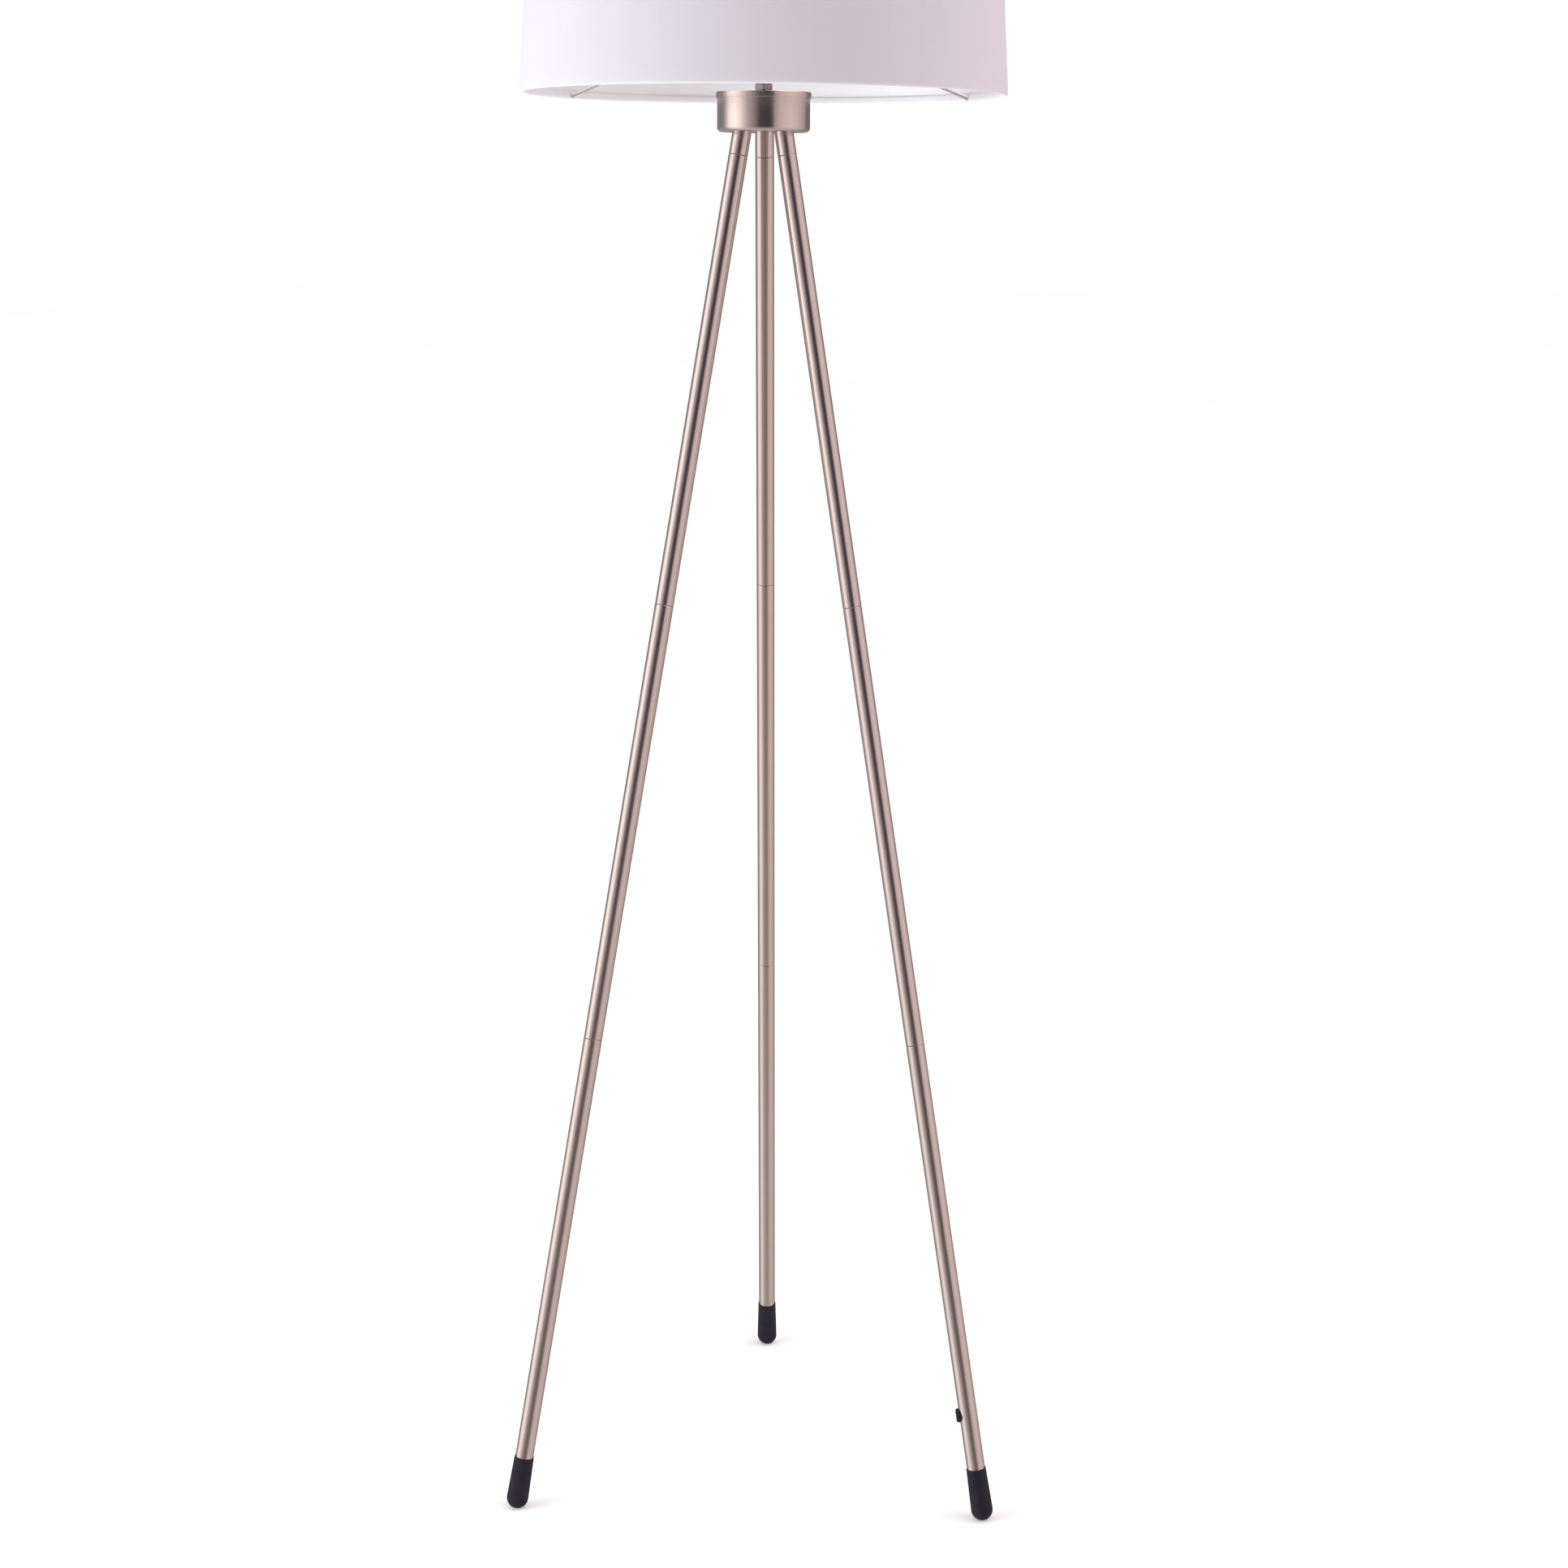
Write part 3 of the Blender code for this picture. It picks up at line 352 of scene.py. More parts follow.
def plated_wire():
    """Bright-plated drawn wire: long faint die lines, a soft haze and a little rub-through."""
    colour = (0.74, 0.71, 0.71)
    material, tree, shader = finish("plated_wire", colour, 0.2, 1.0)
    drawn = grain(tree, 260.0, 5.0, 0.65)
    haze = patchy(tree, 70.0, 4.0, 0.4, 0.7)
    tint = mix(times(haze, 0.5), colour, (0.60, 0.57, 0.57))
    rough = plus(shift(drawn, 0.13, 0.25), times(haze, 0.06))
    paint(shader, mix(worn(tree), tint, (0.84, 0.82, 0.81)), rough)
    bump(shader, drawn, 0.02 * MM, 0.5)
    return material


def glass():
    """Soft white glass, coated inside: pale, satin and very slightly mottled under a clear skin."""
    colour = (0.90, 0.885, 0.86)
    material, tree, shader = finish("frosted_glass", colour, 0.22, Coat_Weight=0.5, Coat_Roughness=0.06)
    cloud = grain(tree, 90.0, 5.0, 0.6)
    mottle = mix(ramp(cloud, [(0.35, 0.0), (0.7, 1.0)]), colour, (0.84, 0.83, 0.79))
    paint(shader, mottle, shift(cloud, 0.16, 0.3))
    bump(shader, grain(tree, 1500.0), 0.01 * MM, 0.3)
    return material


CLOTH_THREADS = 1150.0
THREAD_PITCH = 0.53 * MM
THREAD_WANDER = 1.4  # how far the threads stray, in radians of the weave's wave
CROSSING = 0.6  # how far a thread rises where it passes over another


def cloth():
    """Plain-woven cloth: threads over and under each other, uneven in width and shade."""
    colour = (0.69, 0.665, 0.69)
    material, tree, shader = finish("shade_cloth", colour, 0.88, Sheen_Weight=0.12, Sheen_Roughness=0.5)
    x, y, z = node(tree, "SeparateXYZ", {0: here(tree)}).outputs
    turn = calc("ARCTAN2", times(x, -1.0), times(y, -1.0))
    drift = [shift(grain(tree, scale, 2.0), -THREAD_WANDER, THREAD_WANDER)
             for scale in (150.0, 190.0)]
    across = plus(times(turn, CLOTH_THREADS), drift[0])
    height = calc("MULTIPLY_ADD", z, pi / THREAD_PITCH, drift[1])
    column, row = calc("SINE", across), calc("SINE", height)
    over = times(times(column, row), CROSSING)
    warp = plus(calc("ABSOLUTE", column), over)
    weft = calc("SUBTRACT", calc("ABSOLUTE", row), over)
    weave = times(calc("MAXIMUM", warp, weft), 0.7)
    streaks = []
    for turn_scale, height_scale in ((420.0, 9.0), (2.2, 1500.0)):
        links = {0: times(turn, turn_scale), 1: times(z, height_scale)}
        streaks.append(noise(node(tree, "CombineXYZ", links).outputs[0], 1.0))
    slubs = times(plus(*streaks), 0.5)
    gaps = ramp(weave, [(0.15, 0.0), (0.7, 1.0)])
    threads = mix(slubs, (0.655, 0.625, 0.65), (0.745, 0.72, 0.745))
    woven = mix(gaps, (0.565, 0.54, 0.565), threads)
    # Painted light: the turned-in hems are painted paler, as if lit from the white floor below.
    painted_hem_light = mix(wear_and_hem_light_mask(tree), woven, (0.84, 0.82, 0.84))
    paint(shader, painted_hem_light, shift(slubs, 0.8, 0.95))
    bump(shader, calc("MULTIPLY_ADD", slubs, 0.7, weave), 0.09 * MM, 0.55)
    return material


def liner():
    """Thin white styrene: satin, faintly streaked by rolling."""
    material, tree, shader = finish("shade_liner", (0.83, 0.82, 0.82), 0.5)
    streak = turned_lines(tree, 4.0 * MM, 0.25)
    skin = grain(tree, 900.0)
    tint = mix(streak, (0.79, 0.78, 0.78), (0.86, 0.855, 0.85))
    paint(shader, tint, shift(skin, 0.42, 0.58))
    bump(shader, plus(skin, streak), 0.03 * MM, 0.5)
    return material


def make_finishes():
    nickel, bright = (0.80, 0.665, 0.605), (0.87, 0.75, 0.69)
    return {
        "brushed_nickel": brushed("brushed_nickel", nickel, bright, 0.2, 0.6),
        "hub_nickel": brushed("hub_nickel", nickel, bright, 0.14, 0.5),
        "zinc_plated_steel": plain_metal(
            "zinc", (0.36, 0.31, 0.325), (0.25, 0.21, 0.23), 0.26, 700.0),
        "die_cast": plain_metal(
            "die_cast", (0.50, 0.505, 0.52), (0.36, 0.36, 0.38), 0.5, 900.0, 3.0 * MM),
        "brass": plain_metal("brass", (0.72, 0.50, 0.22), (0.46, 0.29, 0.12), 0.27, 600.0),
        "bulb_cap_metal": plain_metal(
            "bulb_cap_metal", (0.74, 0.745, 0.75), (0.58, 0.58, 0.6), 0.28, 600.0),
        "rubber": moulded(
            "rubber", (0.013, 0.010, 0.020), (0.042, 0.036, 0.052), 0.62, 1400.0, 0.06 * MM,
            Specular_IOR_Level=0.3),
        "phenolic": moulded(
            "phenolic", (0.016, 0.015, 0.015), (0.06, 0.055, 0.05), 0.36, 1100.0, 0.02 * MM),
        "frosted_glass": glass(),
        "shade_cloth": cloth(),
        "shade_liner": liner(),
        "plated_wire": plated_wire(),
    }


# ---- mesh tools

def fillet(corners, closed=False, steps=4):
    """Profile points (radius, height, worn-edge mark) from corners (radius, height, rounding)."""
    points = []
    last = len(corners) - 1
    for i, (radius, height, rounding) in enumerate(corners):
        spot = Vector((radius, height))
        if rounding <= 0.0 or (not closed and i in (0, last)):
            points.append((radius, height, 0.0))
            continue
        back = Vector(corners[i - 1][:2]) - spot
        ahead = Vector(corners[(i + 1) % len(corners)][:2]) - spot
        half = back.angle(ahead) / 2
        reach = min(rounding / tan(half), 0.42 * back.length, 0.42 * ahead.length)
        bend = reach * tan(half)
        back.normalize()
        ahead.normalize()
        centre = spot + (back + ahead).normalized() * (bend / sin(half))
        first, second = spot + back * reach - centre, spot + ahead * reach - centre
        start = atan2(first.y, first.x)
        turn = (atan2(second.y, second.x) - start + pi) % (2 * pi) - pi
        brace = 0.25 * reach
        points.append((*(centre + first + back * brace), 0.0))
        for k in range(steps + 1):
            angle = start + turn * k / steps
            points.append((centre.x + bend * cos(angle), centre.y + bend * sin(angle), 1.0))
        points.append((*(centre + second + ahead * brace), 0.0))
    return points


def line(start, end, count):
    """Profile points on a straight line, without its two ends."""
    (r0, z0), (r1, z1) = start[:2], end[:2]
    return [(r0 + (r1 - r0) * k / count, z0 + (z1 - z0) * k / count, 0.0) for k in range(1, count)]


def upright(radius, start, end, count):
    """Profile points straight up or down at one radius, without the two ends."""
    return [(radius, start + (end - start) * k / count, 0.0) for k in range(1, count)]


def bow(centre, radius, start, end, steps):
    """Profile points on an arc, angles in degrees, both ends included."""
    angles = [radians(start + (end - start) * k / steps) for k in range(steps + 1)]
    return [(centre[0] + radius * cos(a), centre[1] + radius * sin(a), 0.0) for a in angles]


def lathe(name, profile, closed=False, turns=96, shape=None, angles=None):
    """A turned mesh about Z. shape(angle, radius, height, index) may give another (radius, height)."""
    angles = angles or [2 * pi * k / turns for k in range(turns)]
    work = bmesh.new()
    wear_and_hem_light = work.verts.layers.float.new("wear_and_hem_light")
    rings = []
    for index, (radius, height, rub) in enumerate(profile):
        if radius < 1e-7:
            ring = [work.verts.new((0.0, 0.0, height))] * len(angles)
        else:
            ring = []
            for angle in angles:
                r, z = shape(angle, radius, height, index) if shape else (radius, height)
                ring.append(work.verts.new((r * cos(angle), r * sin(angle), z)))
        for vert in ring:
            vert[wear_and_hem_light] = rub
        rings.append(ring)
    pairs = list(zip(rings, rings[1:])) + ([(rings[-1], rings[0])] if closed else [])
    for upper, lower in pairs:
        for k in range(len(angles)):
            n = (k + 1) % len(angles)
            corner = []
            for vert in (upper[k], upper[n], lower[n], lower[k]):
                if vert not in corner:
                    corner.append(vert)
            if len(corner) > 2:
                work.faces.new(corner)
    bmesh.ops.recalc_face_normals(work, faces=work.faces)
    return new_object(name, work)


def turned_ring(name, corners, steps=4, **more):
    """A lathed ring, hollow in the middle, from its section's corners."""
    return lathe(name, fillet(corners, closed=True, steps=steps), closed=True, **more)


def new_object(name, work):
    """An object from a bmesh, shaded smooth between its sharp edges."""
    mesh = bpy.data.meshes.new(name)
    work.to_mesh(mesh)
    work.free()
    made = bpy.data.objects.new(name, mesh)
    bpy.context.scene.collection.objects.link(made)
    smooth_shade(mesh)
    return made


def smooth_shade(mesh):
    mesh.shade_smooth()
    mesh.set_sharp_from_angle(angle=SHARP_ANGLE)


def evaluated(made):
    """The mesh that an object's modifiers or curve come to."""
    bpy.context.view_layer.update()
    graph = bpy.context.evaluated_depsgraph_get()
    return bpy.data.meshes.new_from_object(made.evaluated_get(graph), depsgraph=graph)


def carve(made, tools, operation="DIFFERENCE"):
    """Cuts a piece with other meshes, which are then thrown away."""
    for tool in tools:
        cut = made.modifiers.new("cut", "BOOLEAN")
        cut.operation, cut.solver, cut.object = operation, "EXACT", tool
    mesh = evaluated(made)
    made.modifiers.clear()
    made.data = mesh
    smooth_shade(mesh)
    for tool in tools:
        bpy.data.objects.remove(tool, do_unlink=True)


def bar(name, radius, low, high, matrix, turns=64):
    """A round cutting tool along a frame's Z."""
    profile = [(0.0, high, 0), (radius, high, 0), (radius, low, 0), (0.0, low, 0)]
    tool = lathe(name, profile, turns=turns)
    tool.matrix_world = matrix
    return tool


def dress(made, look):
    made.data.materials.clear()
    made.data.materials.append(FINISHES[look])


def install(made, body, cad_node, slot, matrix=LAMP_FRAME, look=None):
    """Places a piece, gives it its finish, and has it ride its body in its CAD node's stead."""
    made.matrix_world = matrix
    dress(made, look or slot)
    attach(made, body)
    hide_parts(cad_node)
    return made


def middle(cad_node):
    low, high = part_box(cad_node)
    return (low + high) / 2


def points_in(cad_node, matrix):
    """A CAD node's points, in another frame."""
    back = matrix.inverted()
    return np.array([back @ v.co for v in frame["nodes"][cad_node].data.vertices])


def extent(cad_node, matrix=LAMP_FRAME):
    """Lowest and highest place along a frame's Z, and least and greatest distance from it."""
    points = points_in(cad_node, matrix)
    reach = np.hypot(points[:, 0], points[:, 1])
    return points[:, 2].min(), points[:, 2].max(), reach.min(), reach.max()


# ---- legs

TUBE_EDGE = 0.35 * MM
TUBE_WALL = 1.2 * MM
STUB_THREAD_BORE = 5.3 * MM
STUB_THREAD_DEPTH = 17.0 * MM
BOOT_DEPTH = 28.0 * MM
BOOT_TOP = 8.5 * MM
BOOT_BALL = 9.53 * MM
BOOT_FLAT = 0.63 * MM  # how much of the ball the floor takes off
GROMMET_NECK = 4.6 * MM
GROMMET_SEAT = 4.9 * MM  # from the leg's middle out to the flange
GROMMET_REACH = 14.0 * MM


def leg_matrix(side):
    """A frame with its Z up along the leg and its origin in the middle of the upper tube."""
    top, foot = middle(side + "_leg_upper_tube"), middle(side + "_leg_lower_tube")
    up = (top - foot).normalized()
    out = Vector((foot.x - top.x, foot.y - top.y, 0.0)).normalized()
    across = up.cross(out).normalized()
    matrix = Matrix((across.cross(up), across, up)).transposed().to_4x4()
    matrix.translation = top
    return matrix


def tube(name, cad_node, matrix):
    """A leg tube with softly broken edges, and rings of points to take a cut."""
    low, high, inner, outer = extent(cad_node, matrix)
    corners = [
        (outer, high, TUBE_EDGE), (outer, low, TUBE_EDGE),
        (inner, low, 0.15 * MM), (inner, high, 0.15 * MM),
    ]
    profile = fillet(corners, closed=True, steps=3)
    split = len(profile) // len(corners)  # past the first corner, where the outer side starts
    profile[split:split] = upright(outer, profile[split - 1][1], profile[split][1], 12)
    made = lathe(name, profile, closed=True, turns=72)
    made.matrix_world = matrix
    return made


def stub(side, matrix):
    """The stub in the hub: threaded bore below, narrow cord hole above."""
    cad_node = side + "_leg_stub"
    low, high, inner, outer = extent(cad_node, matrix)
    step = low + STUB_THREAD_DEPTH
    corners = [
        (outer, high, 0.2 * MM), (outer, low, TUBE_EDGE),
        (STUB_THREAD_BORE, low, 0.2 * MM), (STUB_THREAD_BORE, step, 0),
        (inner, step, 0), (inner, high, 0.2 * MM),
    ]
    made = turned_ring(side + "_stub", corners, steps=3, turns=72)
    install(made, "stand", cad_node, "brushed_nickel", matrix)


def boot(side, matrix):
    """The rubber boot: a thin mouth that grips the tube, a flare, and a ball end worn flat."""
    cad_node = side + "_leg_foot_tip"
    high = extent(cad_node, matrix)[1]
    tube_radius = extent(side + "_leg_lower_tube", matrix)[3]
    bore, grip = tube_radius + GAP, tube_radius + 0.05 * MM
    ball = (BOOT_BALL - BOOT_FLAT - matrix.translation.z) / matrix.col[2].z
    bottom = high - BOOT_DEPTH
    corners = [
        (0.0, bottom, 0), (bore, bottom, 0.5 * MM), (bore, high - 2.4 * MM, 0.4 * MM),
        (grip, high - 1.2 * MM, 0.2 * MM), (grip, high, 0.12 * MM), (BOOT_TOP, high, 0.22 * MM),
        (BOOT_TOP + 0.12 * MM, high - 2.0 * MM, 3.0 * MM), (BOOT_BALL, ball, 0),
    ]
    profile = fillet(corners, steps=4)
    profile = profile[:-1] + line(profile[-2], (BOOT_BALL, ball), 12)
    profile += bow((0.0, ball), BOOT_BALL, 0.0, -90.0, 16)[:-1] + [(0.0, ball - BOOT_BALL, 0.0)]
    profile = [(r, z, w if z > high - 2 * MM else 0.0) for r, z, w in profile]
    made = lathe(side + "_foot_tip", profile, turns=72)
    work = bmesh.new()
    work.from_mesh(made.data)
    work.transform(matrix)
    whole = work.verts[:] + work.edges[:] + work.faces[:]
    cut = bmesh.ops.bisect_plane(
        work, geom=whole, plane_co=(0.0, 0.0, 0.0), plane_no=(0.0, 0.0, 1.0), clear_inner=True)
    rim = [e for e in cut["geom_cut"] if isinstance(e, bmesh.types.BMEdge)]
    bmesh.ops.holes_fill(work, edges=rim)
    wear_and_hem_light = work.verts.layers.float["wear_and_hem_light"]
    for edge in rim:
        for vert in edge.verts:
            vert[wear_and_hem_light] = 1.0
    work.to_mesh(made.data)
    work.free()
    made.data.set_sharp_from_angle(angle=SHARP_ANGLE)
    install(made, "stand", cad_node, "rubber", WORLD)


def grommet(tube_piece, matrix):
    """The cord grommet, and the hole in the leg that it snaps into."""
    cad_node = "cord_grommet"
    points = points_in(cad_node, matrix)
    level = (points[:, 2].min() + points[:, 2].max()) / 2
    out = Vector((points[:, 0].mean(), points[:, 1].mean(), 0.0)).normalized()
    along = Vector((0.0, 0.0, 1.0))
    seat = Matrix((along, out.cross(along), out)).transposed().to_4x4()
    seat.translation = along * level
    seat = matrix @ seat
    low, high, bore, flange = extent(cad_node, seat)
    tube_radius = extent("right_leg_middle_tube", matrix)[3]
    neck = GROMMET_NECK
    carve(tube_piece, [bar("grommet_hole", neck + GAP, 0.0, 20.0 * MM, seat)])
    corners = [
        (bore, high - 0.2 * MM, 0.8 * MM), (bore + 1.4 * MM, high, 1.2 * MM),
        (flange - 0.3 * MM, high - 0.9 * MM, 1.9 * MM), (flange, GROMMET_SEAT, 0.3 * MM),
        (neck, GROMMET_SEAT, 0.2 * MM), (neck, tube_radius - TUBE_WALL - GAP, 0.1 * MM),
        (neck - 0.4 * MM, low, 0.4 * MM), (bore, low, 0.3 * MM),
    ]
    made = turned_ring("leg_cord_grommet", corners, steps=5, turns=64)
    made.matrix_world = seat
    outside, inside = tube_radius + 0.12 * MM, tube_radius - TUBE_WALL - 0.2 * MM
    saddle = [(outside, GROMMET_REACH, 0), (outside, -GROMMET_REACH, 0),
              (inside, -GROMMET_REACH, 0), (inside, GROMMET_REACH, 0)]
    wall_tool = lathe("grommet_saddle", saddle, closed=True, turns=96)
    wall_tool.matrix_world = matrix @ Matrix.Translation(along * level)
    carve(wall_tool, [bar("grommet_keep", neck + 0.002 * MM, 0.0, 30.0 * MM, seat)])
    carve(made, [wall_tool])
    install(made, "stand", cad_node, "rubber", seat)


def legs():
    for side in SIDES:
        matrix = leg_matrix(side)
        stub(side, matrix)
        for section in SECTIONS:
            part = section + "_tube"
            cad_node = side + "_leg_" + part
            made = tube(side + "_" + part, cad_node, matrix)
            if (side, section) == ("right", "lower"):
                grommet(made, matrix)
            install(made, "stand", cad_node, "brushed_nickel", matrix)
        boot(side, matrix)


# ---- hub

def hub_cup():
    """The round cup, with the three holes that the stubs come out of."""
    low, high, _, outer = extent("hub_cup")
    wall, edge = 1.2 * MM, 3.5 * MM
    corners = [
        (0.0, low + wall, 0), (outer - wall, low + wall, edge - wall), (outer - wall, high, 0.2 * MM),
        (outer, high, 0.3 * MM), (outer, low, edge), (0.0, low, 0),
    ]
    cup = lathe("cup", fillet(corners, steps=10), turns=144)
    cup.matrix_world = LAMP_FRAME
    tools = []
    for side in SIDES:
        matrix = leg_matrix(side)
        start, _, _, radius = extent(side + "_leg_stub", matrix)
        tools.append(bar(side + "_hole", radius + 0.25 * MM, start, start + 60 * MM, matrix, turns=72))
    carve(cup, tools)
    install(cup, "stand", "hub_cup", "brushed_nickel", look="hub_nickel")


def hub_cover():
    low, high, hole, outer = extent("hub_cover")
    skin, top = 0.6 * MM, 1.0 * MM
    corners = [
        (hole, high, 0.2 * MM), (outer, high, 0.7 * MM), (outer, low, 0.25 * MM),
        (outer - skin, low, 0.2 * MM), (outer - skin, high - top, 0.2 * MM),
        (hole, high - top, 0.15 * MM),
    ]
    cover = turned_ring("cover", corners, steps=6, turns=144)
    install(cover, "stand", "hub_cover", "brushed_nickel", look="hub_nickel")


def cover_washer():
    low, high, hole, outer = extent("cover_washer")
    corners = [
        (hole, high, 0.1 * MM), (outer, high, 0.3 * MM),
        (outer, low, 0.1 * MM), (hole, low, 0.1 * MM),
    ]
    washer = turned_ring("washer", corners)
    install(washer, "stand", "cover_washer", "brushed_nickel", look="hub_nickel")


def cover_nut():
    """A hexagonal nut, its corners turned off at both ends."""
    low, high, hole, corner = extent("cover_nut")
    flats = corner * cos(pi / 6)
    nut = hexagon("nut", corner, low, high)
    nut.matrix_world = LAMP_FRAME
    rise = (corner - flats) * 0.6 + 0.55 * MM
    outer, inner = corner + 1.0 * MM, flats - 0.2 * MM
    above, below = high + 0.001 * MM, low - 0.001 * MM
    blank = [
        (hole, above, 0), (inner, above, 0), (outer, high - rise, 0),
        (outer, low + rise, 0), (inner, below, 0), (hole, below, 0),
    ]
    turned = lathe("nut_blank", blank, closed=True, turns=120)
    turned.matrix_world = LAMP_FRAME
    carve(nut, [turned], "INTERSECT")
    install(nut, "stand", "cover_nut", "zinc_plated_steel")


def hexagon(name, corner, low, high):
    """A hexagonal prism with slightly broken upright edges."""
    work = bmesh.new()
    rub = work.verts.layers.float.new("wear_and_hem_light")
    bmesh.ops.create_cone(work, cap_ends=True, segments=6, radius1=corner, radius2=corner,
                          depth=high - low)
    bmesh.ops.translate(work, verts=work.verts, vec=(0.0, 0.0, (low + high) / 2))
    edges = [e for e in work.edges if abs(e.verts[0].co.z - e.verts[1].co.z) > MM]
    made = bmesh.ops.bevel(work, geom=edges, offset=0.3 * MM, segments=4, profile=0.5, affect="EDGES")
    for vert in made["verts"]:
        vert[rub] = 1.0
    return new_object(name, work)


# ---- socket and switch

def thread(pitch, depth, low, high, fade=1.0, inner=0.0):
    """A rounded thread as a lathe's shape: it cuts in by up to depth, outside an inner radius and
    between two heights, and fades out over so many turns at each end."""
    def shape(angle, radius, height, index):
        if radius <= inner or not low <= height <= high:
            return radius, height
        ease = min(1.0, (height - low) / (fade * pitch), (high - height) / (fade * pitch))
        wave = 0.5 - 0.5 * cos(2 * pi * (height / pitch - angle / (2 * pi)))
        return radius - depth * ease * wave, height
    return shape


def flutes(count, depth, power, inner, low=0.0):
    """Upright grooves as a lathe's shape, outside an inner radius and above a height."""
    def shape(angle, radius, height, index):
        if radius < inner or height < low:
            return radius, height
        return radius - depth * (0.5 - 0.5 * cos(count * angle)) ** power, height
    return shape


SOCKET_THREAD_RADIUS = 19.2 * MM
SOCKET_THREAD_PITCH = 2.2 * MM
SOCKET_THREAD_DEPTH = 0.7 * MM
SOCKET_WELL = 14.4 * MM
SOCKET_CAP_WALL = 1.0 * MM
SCREW_PITCH = 3.62 * MM  # the bulb's screw
KNOB_FLUTES = 16


def socket_cap():
    """The brass bell under the socket."""
    low, high, hole, outer = extent("socket_cap")
    neck, wall = 7.2 * MM, SOCKET_CAP_WALL
    neck_top, flare_top = low + 4.4 * MM, high - 5.0 * MM
    corners = [
        (outer - wall, high, 0.3 * MM), (outer, high, 0.4 * MM), (outer, flare_top, 3.5 * MM),
        (outer - 2.4 * MM, flare_top - 4.4 * MM, 3.0 * MM),
        (neck + 2.4 * MM, neck_top + 1.0 * MM, 2.0 * MM), (neck, neck_top, 0.8 * MM),
        (neck, low, 0.4 * MM), (hole, low, 0.2 * MM), (hole, neck_top + 1.6 * MM, 0.3 * MM),
        (neck + 1.6 * MM, neck_top + 2.2 * MM, 1.0 * MM),
        (outer - 3.2 * MM, flare_top - 3.4 * MM, 2.0 * MM),
        (outer - wall, flare_top + 0.4 * MM, 2.0 * MM),
    ]
    cap = turned_ring("socket_bell", corners, steps=6)
    install(cap, "stand", "socket_cap", "brass")


def socket_body(switch_frame):
    """The moulding: a spigot in the cap, a body with the switch's hole, and a threaded head."""
    _, rim, _, body_radius = extent("socket_cap")
    low, high, _, shoulder_radius = extent("socket_body")
    thread_radius, well = SOCKET_THREAD_RADIUS, SOCKET_WELL
    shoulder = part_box("shade_fitter_ring")[0].z - GAP
    well_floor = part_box("socket_screw_shell")[0].z - GAP
    spigot = body_radius - SOCKET_CAP_WALL - GAP
    room = body_radius - 3.0 * MM
    room_top = well_floor - 6.5 * MM
    into_well = [
        (0.0, well_floor, 0), (well, well_floor, 0.4 * MM), (well, high, 0.3 * MM),
        (thread_radius, high, 0.8 * MM), (thread_radius, shoulder, 0),
    ]
    outside = [
        (thread_radius, high - 2.0 * MM, 0), (thread_radius, shoulder, 0.2 * MM),
        (shoulder_radius, shoulder, 0.5 * MM), (shoulder_radius, shoulder - 3.0 * MM, 0.5 * MM),
        (body_radius, shoulder - 4.5 * MM, 0.8 * MM), (body_radius, rim + GAP, 0.3 * MM),
        (spigot, rim + GAP, 0.1 * MM), (spigot, low, 0.4 * MM),
        (room, low, 0.3 * MM), (room, room_top, 1.0 * MM), (0.0, room_top, 0),
    ]
    head = fillet(into_well, steps=5)[:-1]
    ridges = upright(thread_radius, high - 1.4 * MM, shoulder + 0.4 * MM, 110)
    screw = thread(SOCKET_THREAD_PITCH, SOCKET_THREAD_DEPTH, shoulder + 0.5 * MM, high - 1.5 * MM)
    body = lathe("socket_moulding", head + ridges + fillet(outside, steps=5)[1:], shape=screw)
    body.matrix_world = LAMP_FRAME
    hole = bar("switch_hole", 2.0 * MM, room - 2.0 * MM, body_radius + 3.0 * MM, switch_frame, turns=48)
    carve(body, [hole])
    install(body, "stand", "socket_body", "phenolic")


def screw_shell():
    """The thin threaded shell that the bulb screws into."""
    low, high, _, outer = extent("socket_screw_shell")
    wall, hole = 0.4 * MM, 8.0 * MM
    inner = outer - wall
    skin = [(hole, low, 0), (outer - 0.1 * MM, low, 0)]
    skin += upright(outer, low + 0.4 * MM, high - 0.3 * MM, 70) + [(outer, high, 0), (inner, high, 1)]
    skin += upright(inner, high - 0.3 * MM, low + 0.4 * MM, 70)
    skin += [(inner, low + wall, 0), (hole, low + wall, 0)]
    shell = lathe("socket_thread_shell", skin, closed=True,
                  shape=thread(SCREW_PITCH, 0.14 * MM, low + MM, high - MM))
    install(shell, "stand", "socket_screw_shell", "brass")


def centre_contact():
    low, high, _, outer = extent("socket_centre_contact")
    tongue, sill = 2.4 * MM, low + 1.2 * MM
    corners = [(0.0, high, 0), (tongue, high, 0.9 * MM), (tongue, sill, 0.2 * MM),
               (outer, sill, 0.2 * MM), (outer, low, 0.1 * MM), (0.0, low, 0)]
    contact = lathe("socket_tongue", fillet(corners), turns=48)
    install(contact, "stand", "socket_centre_contact", "brass")


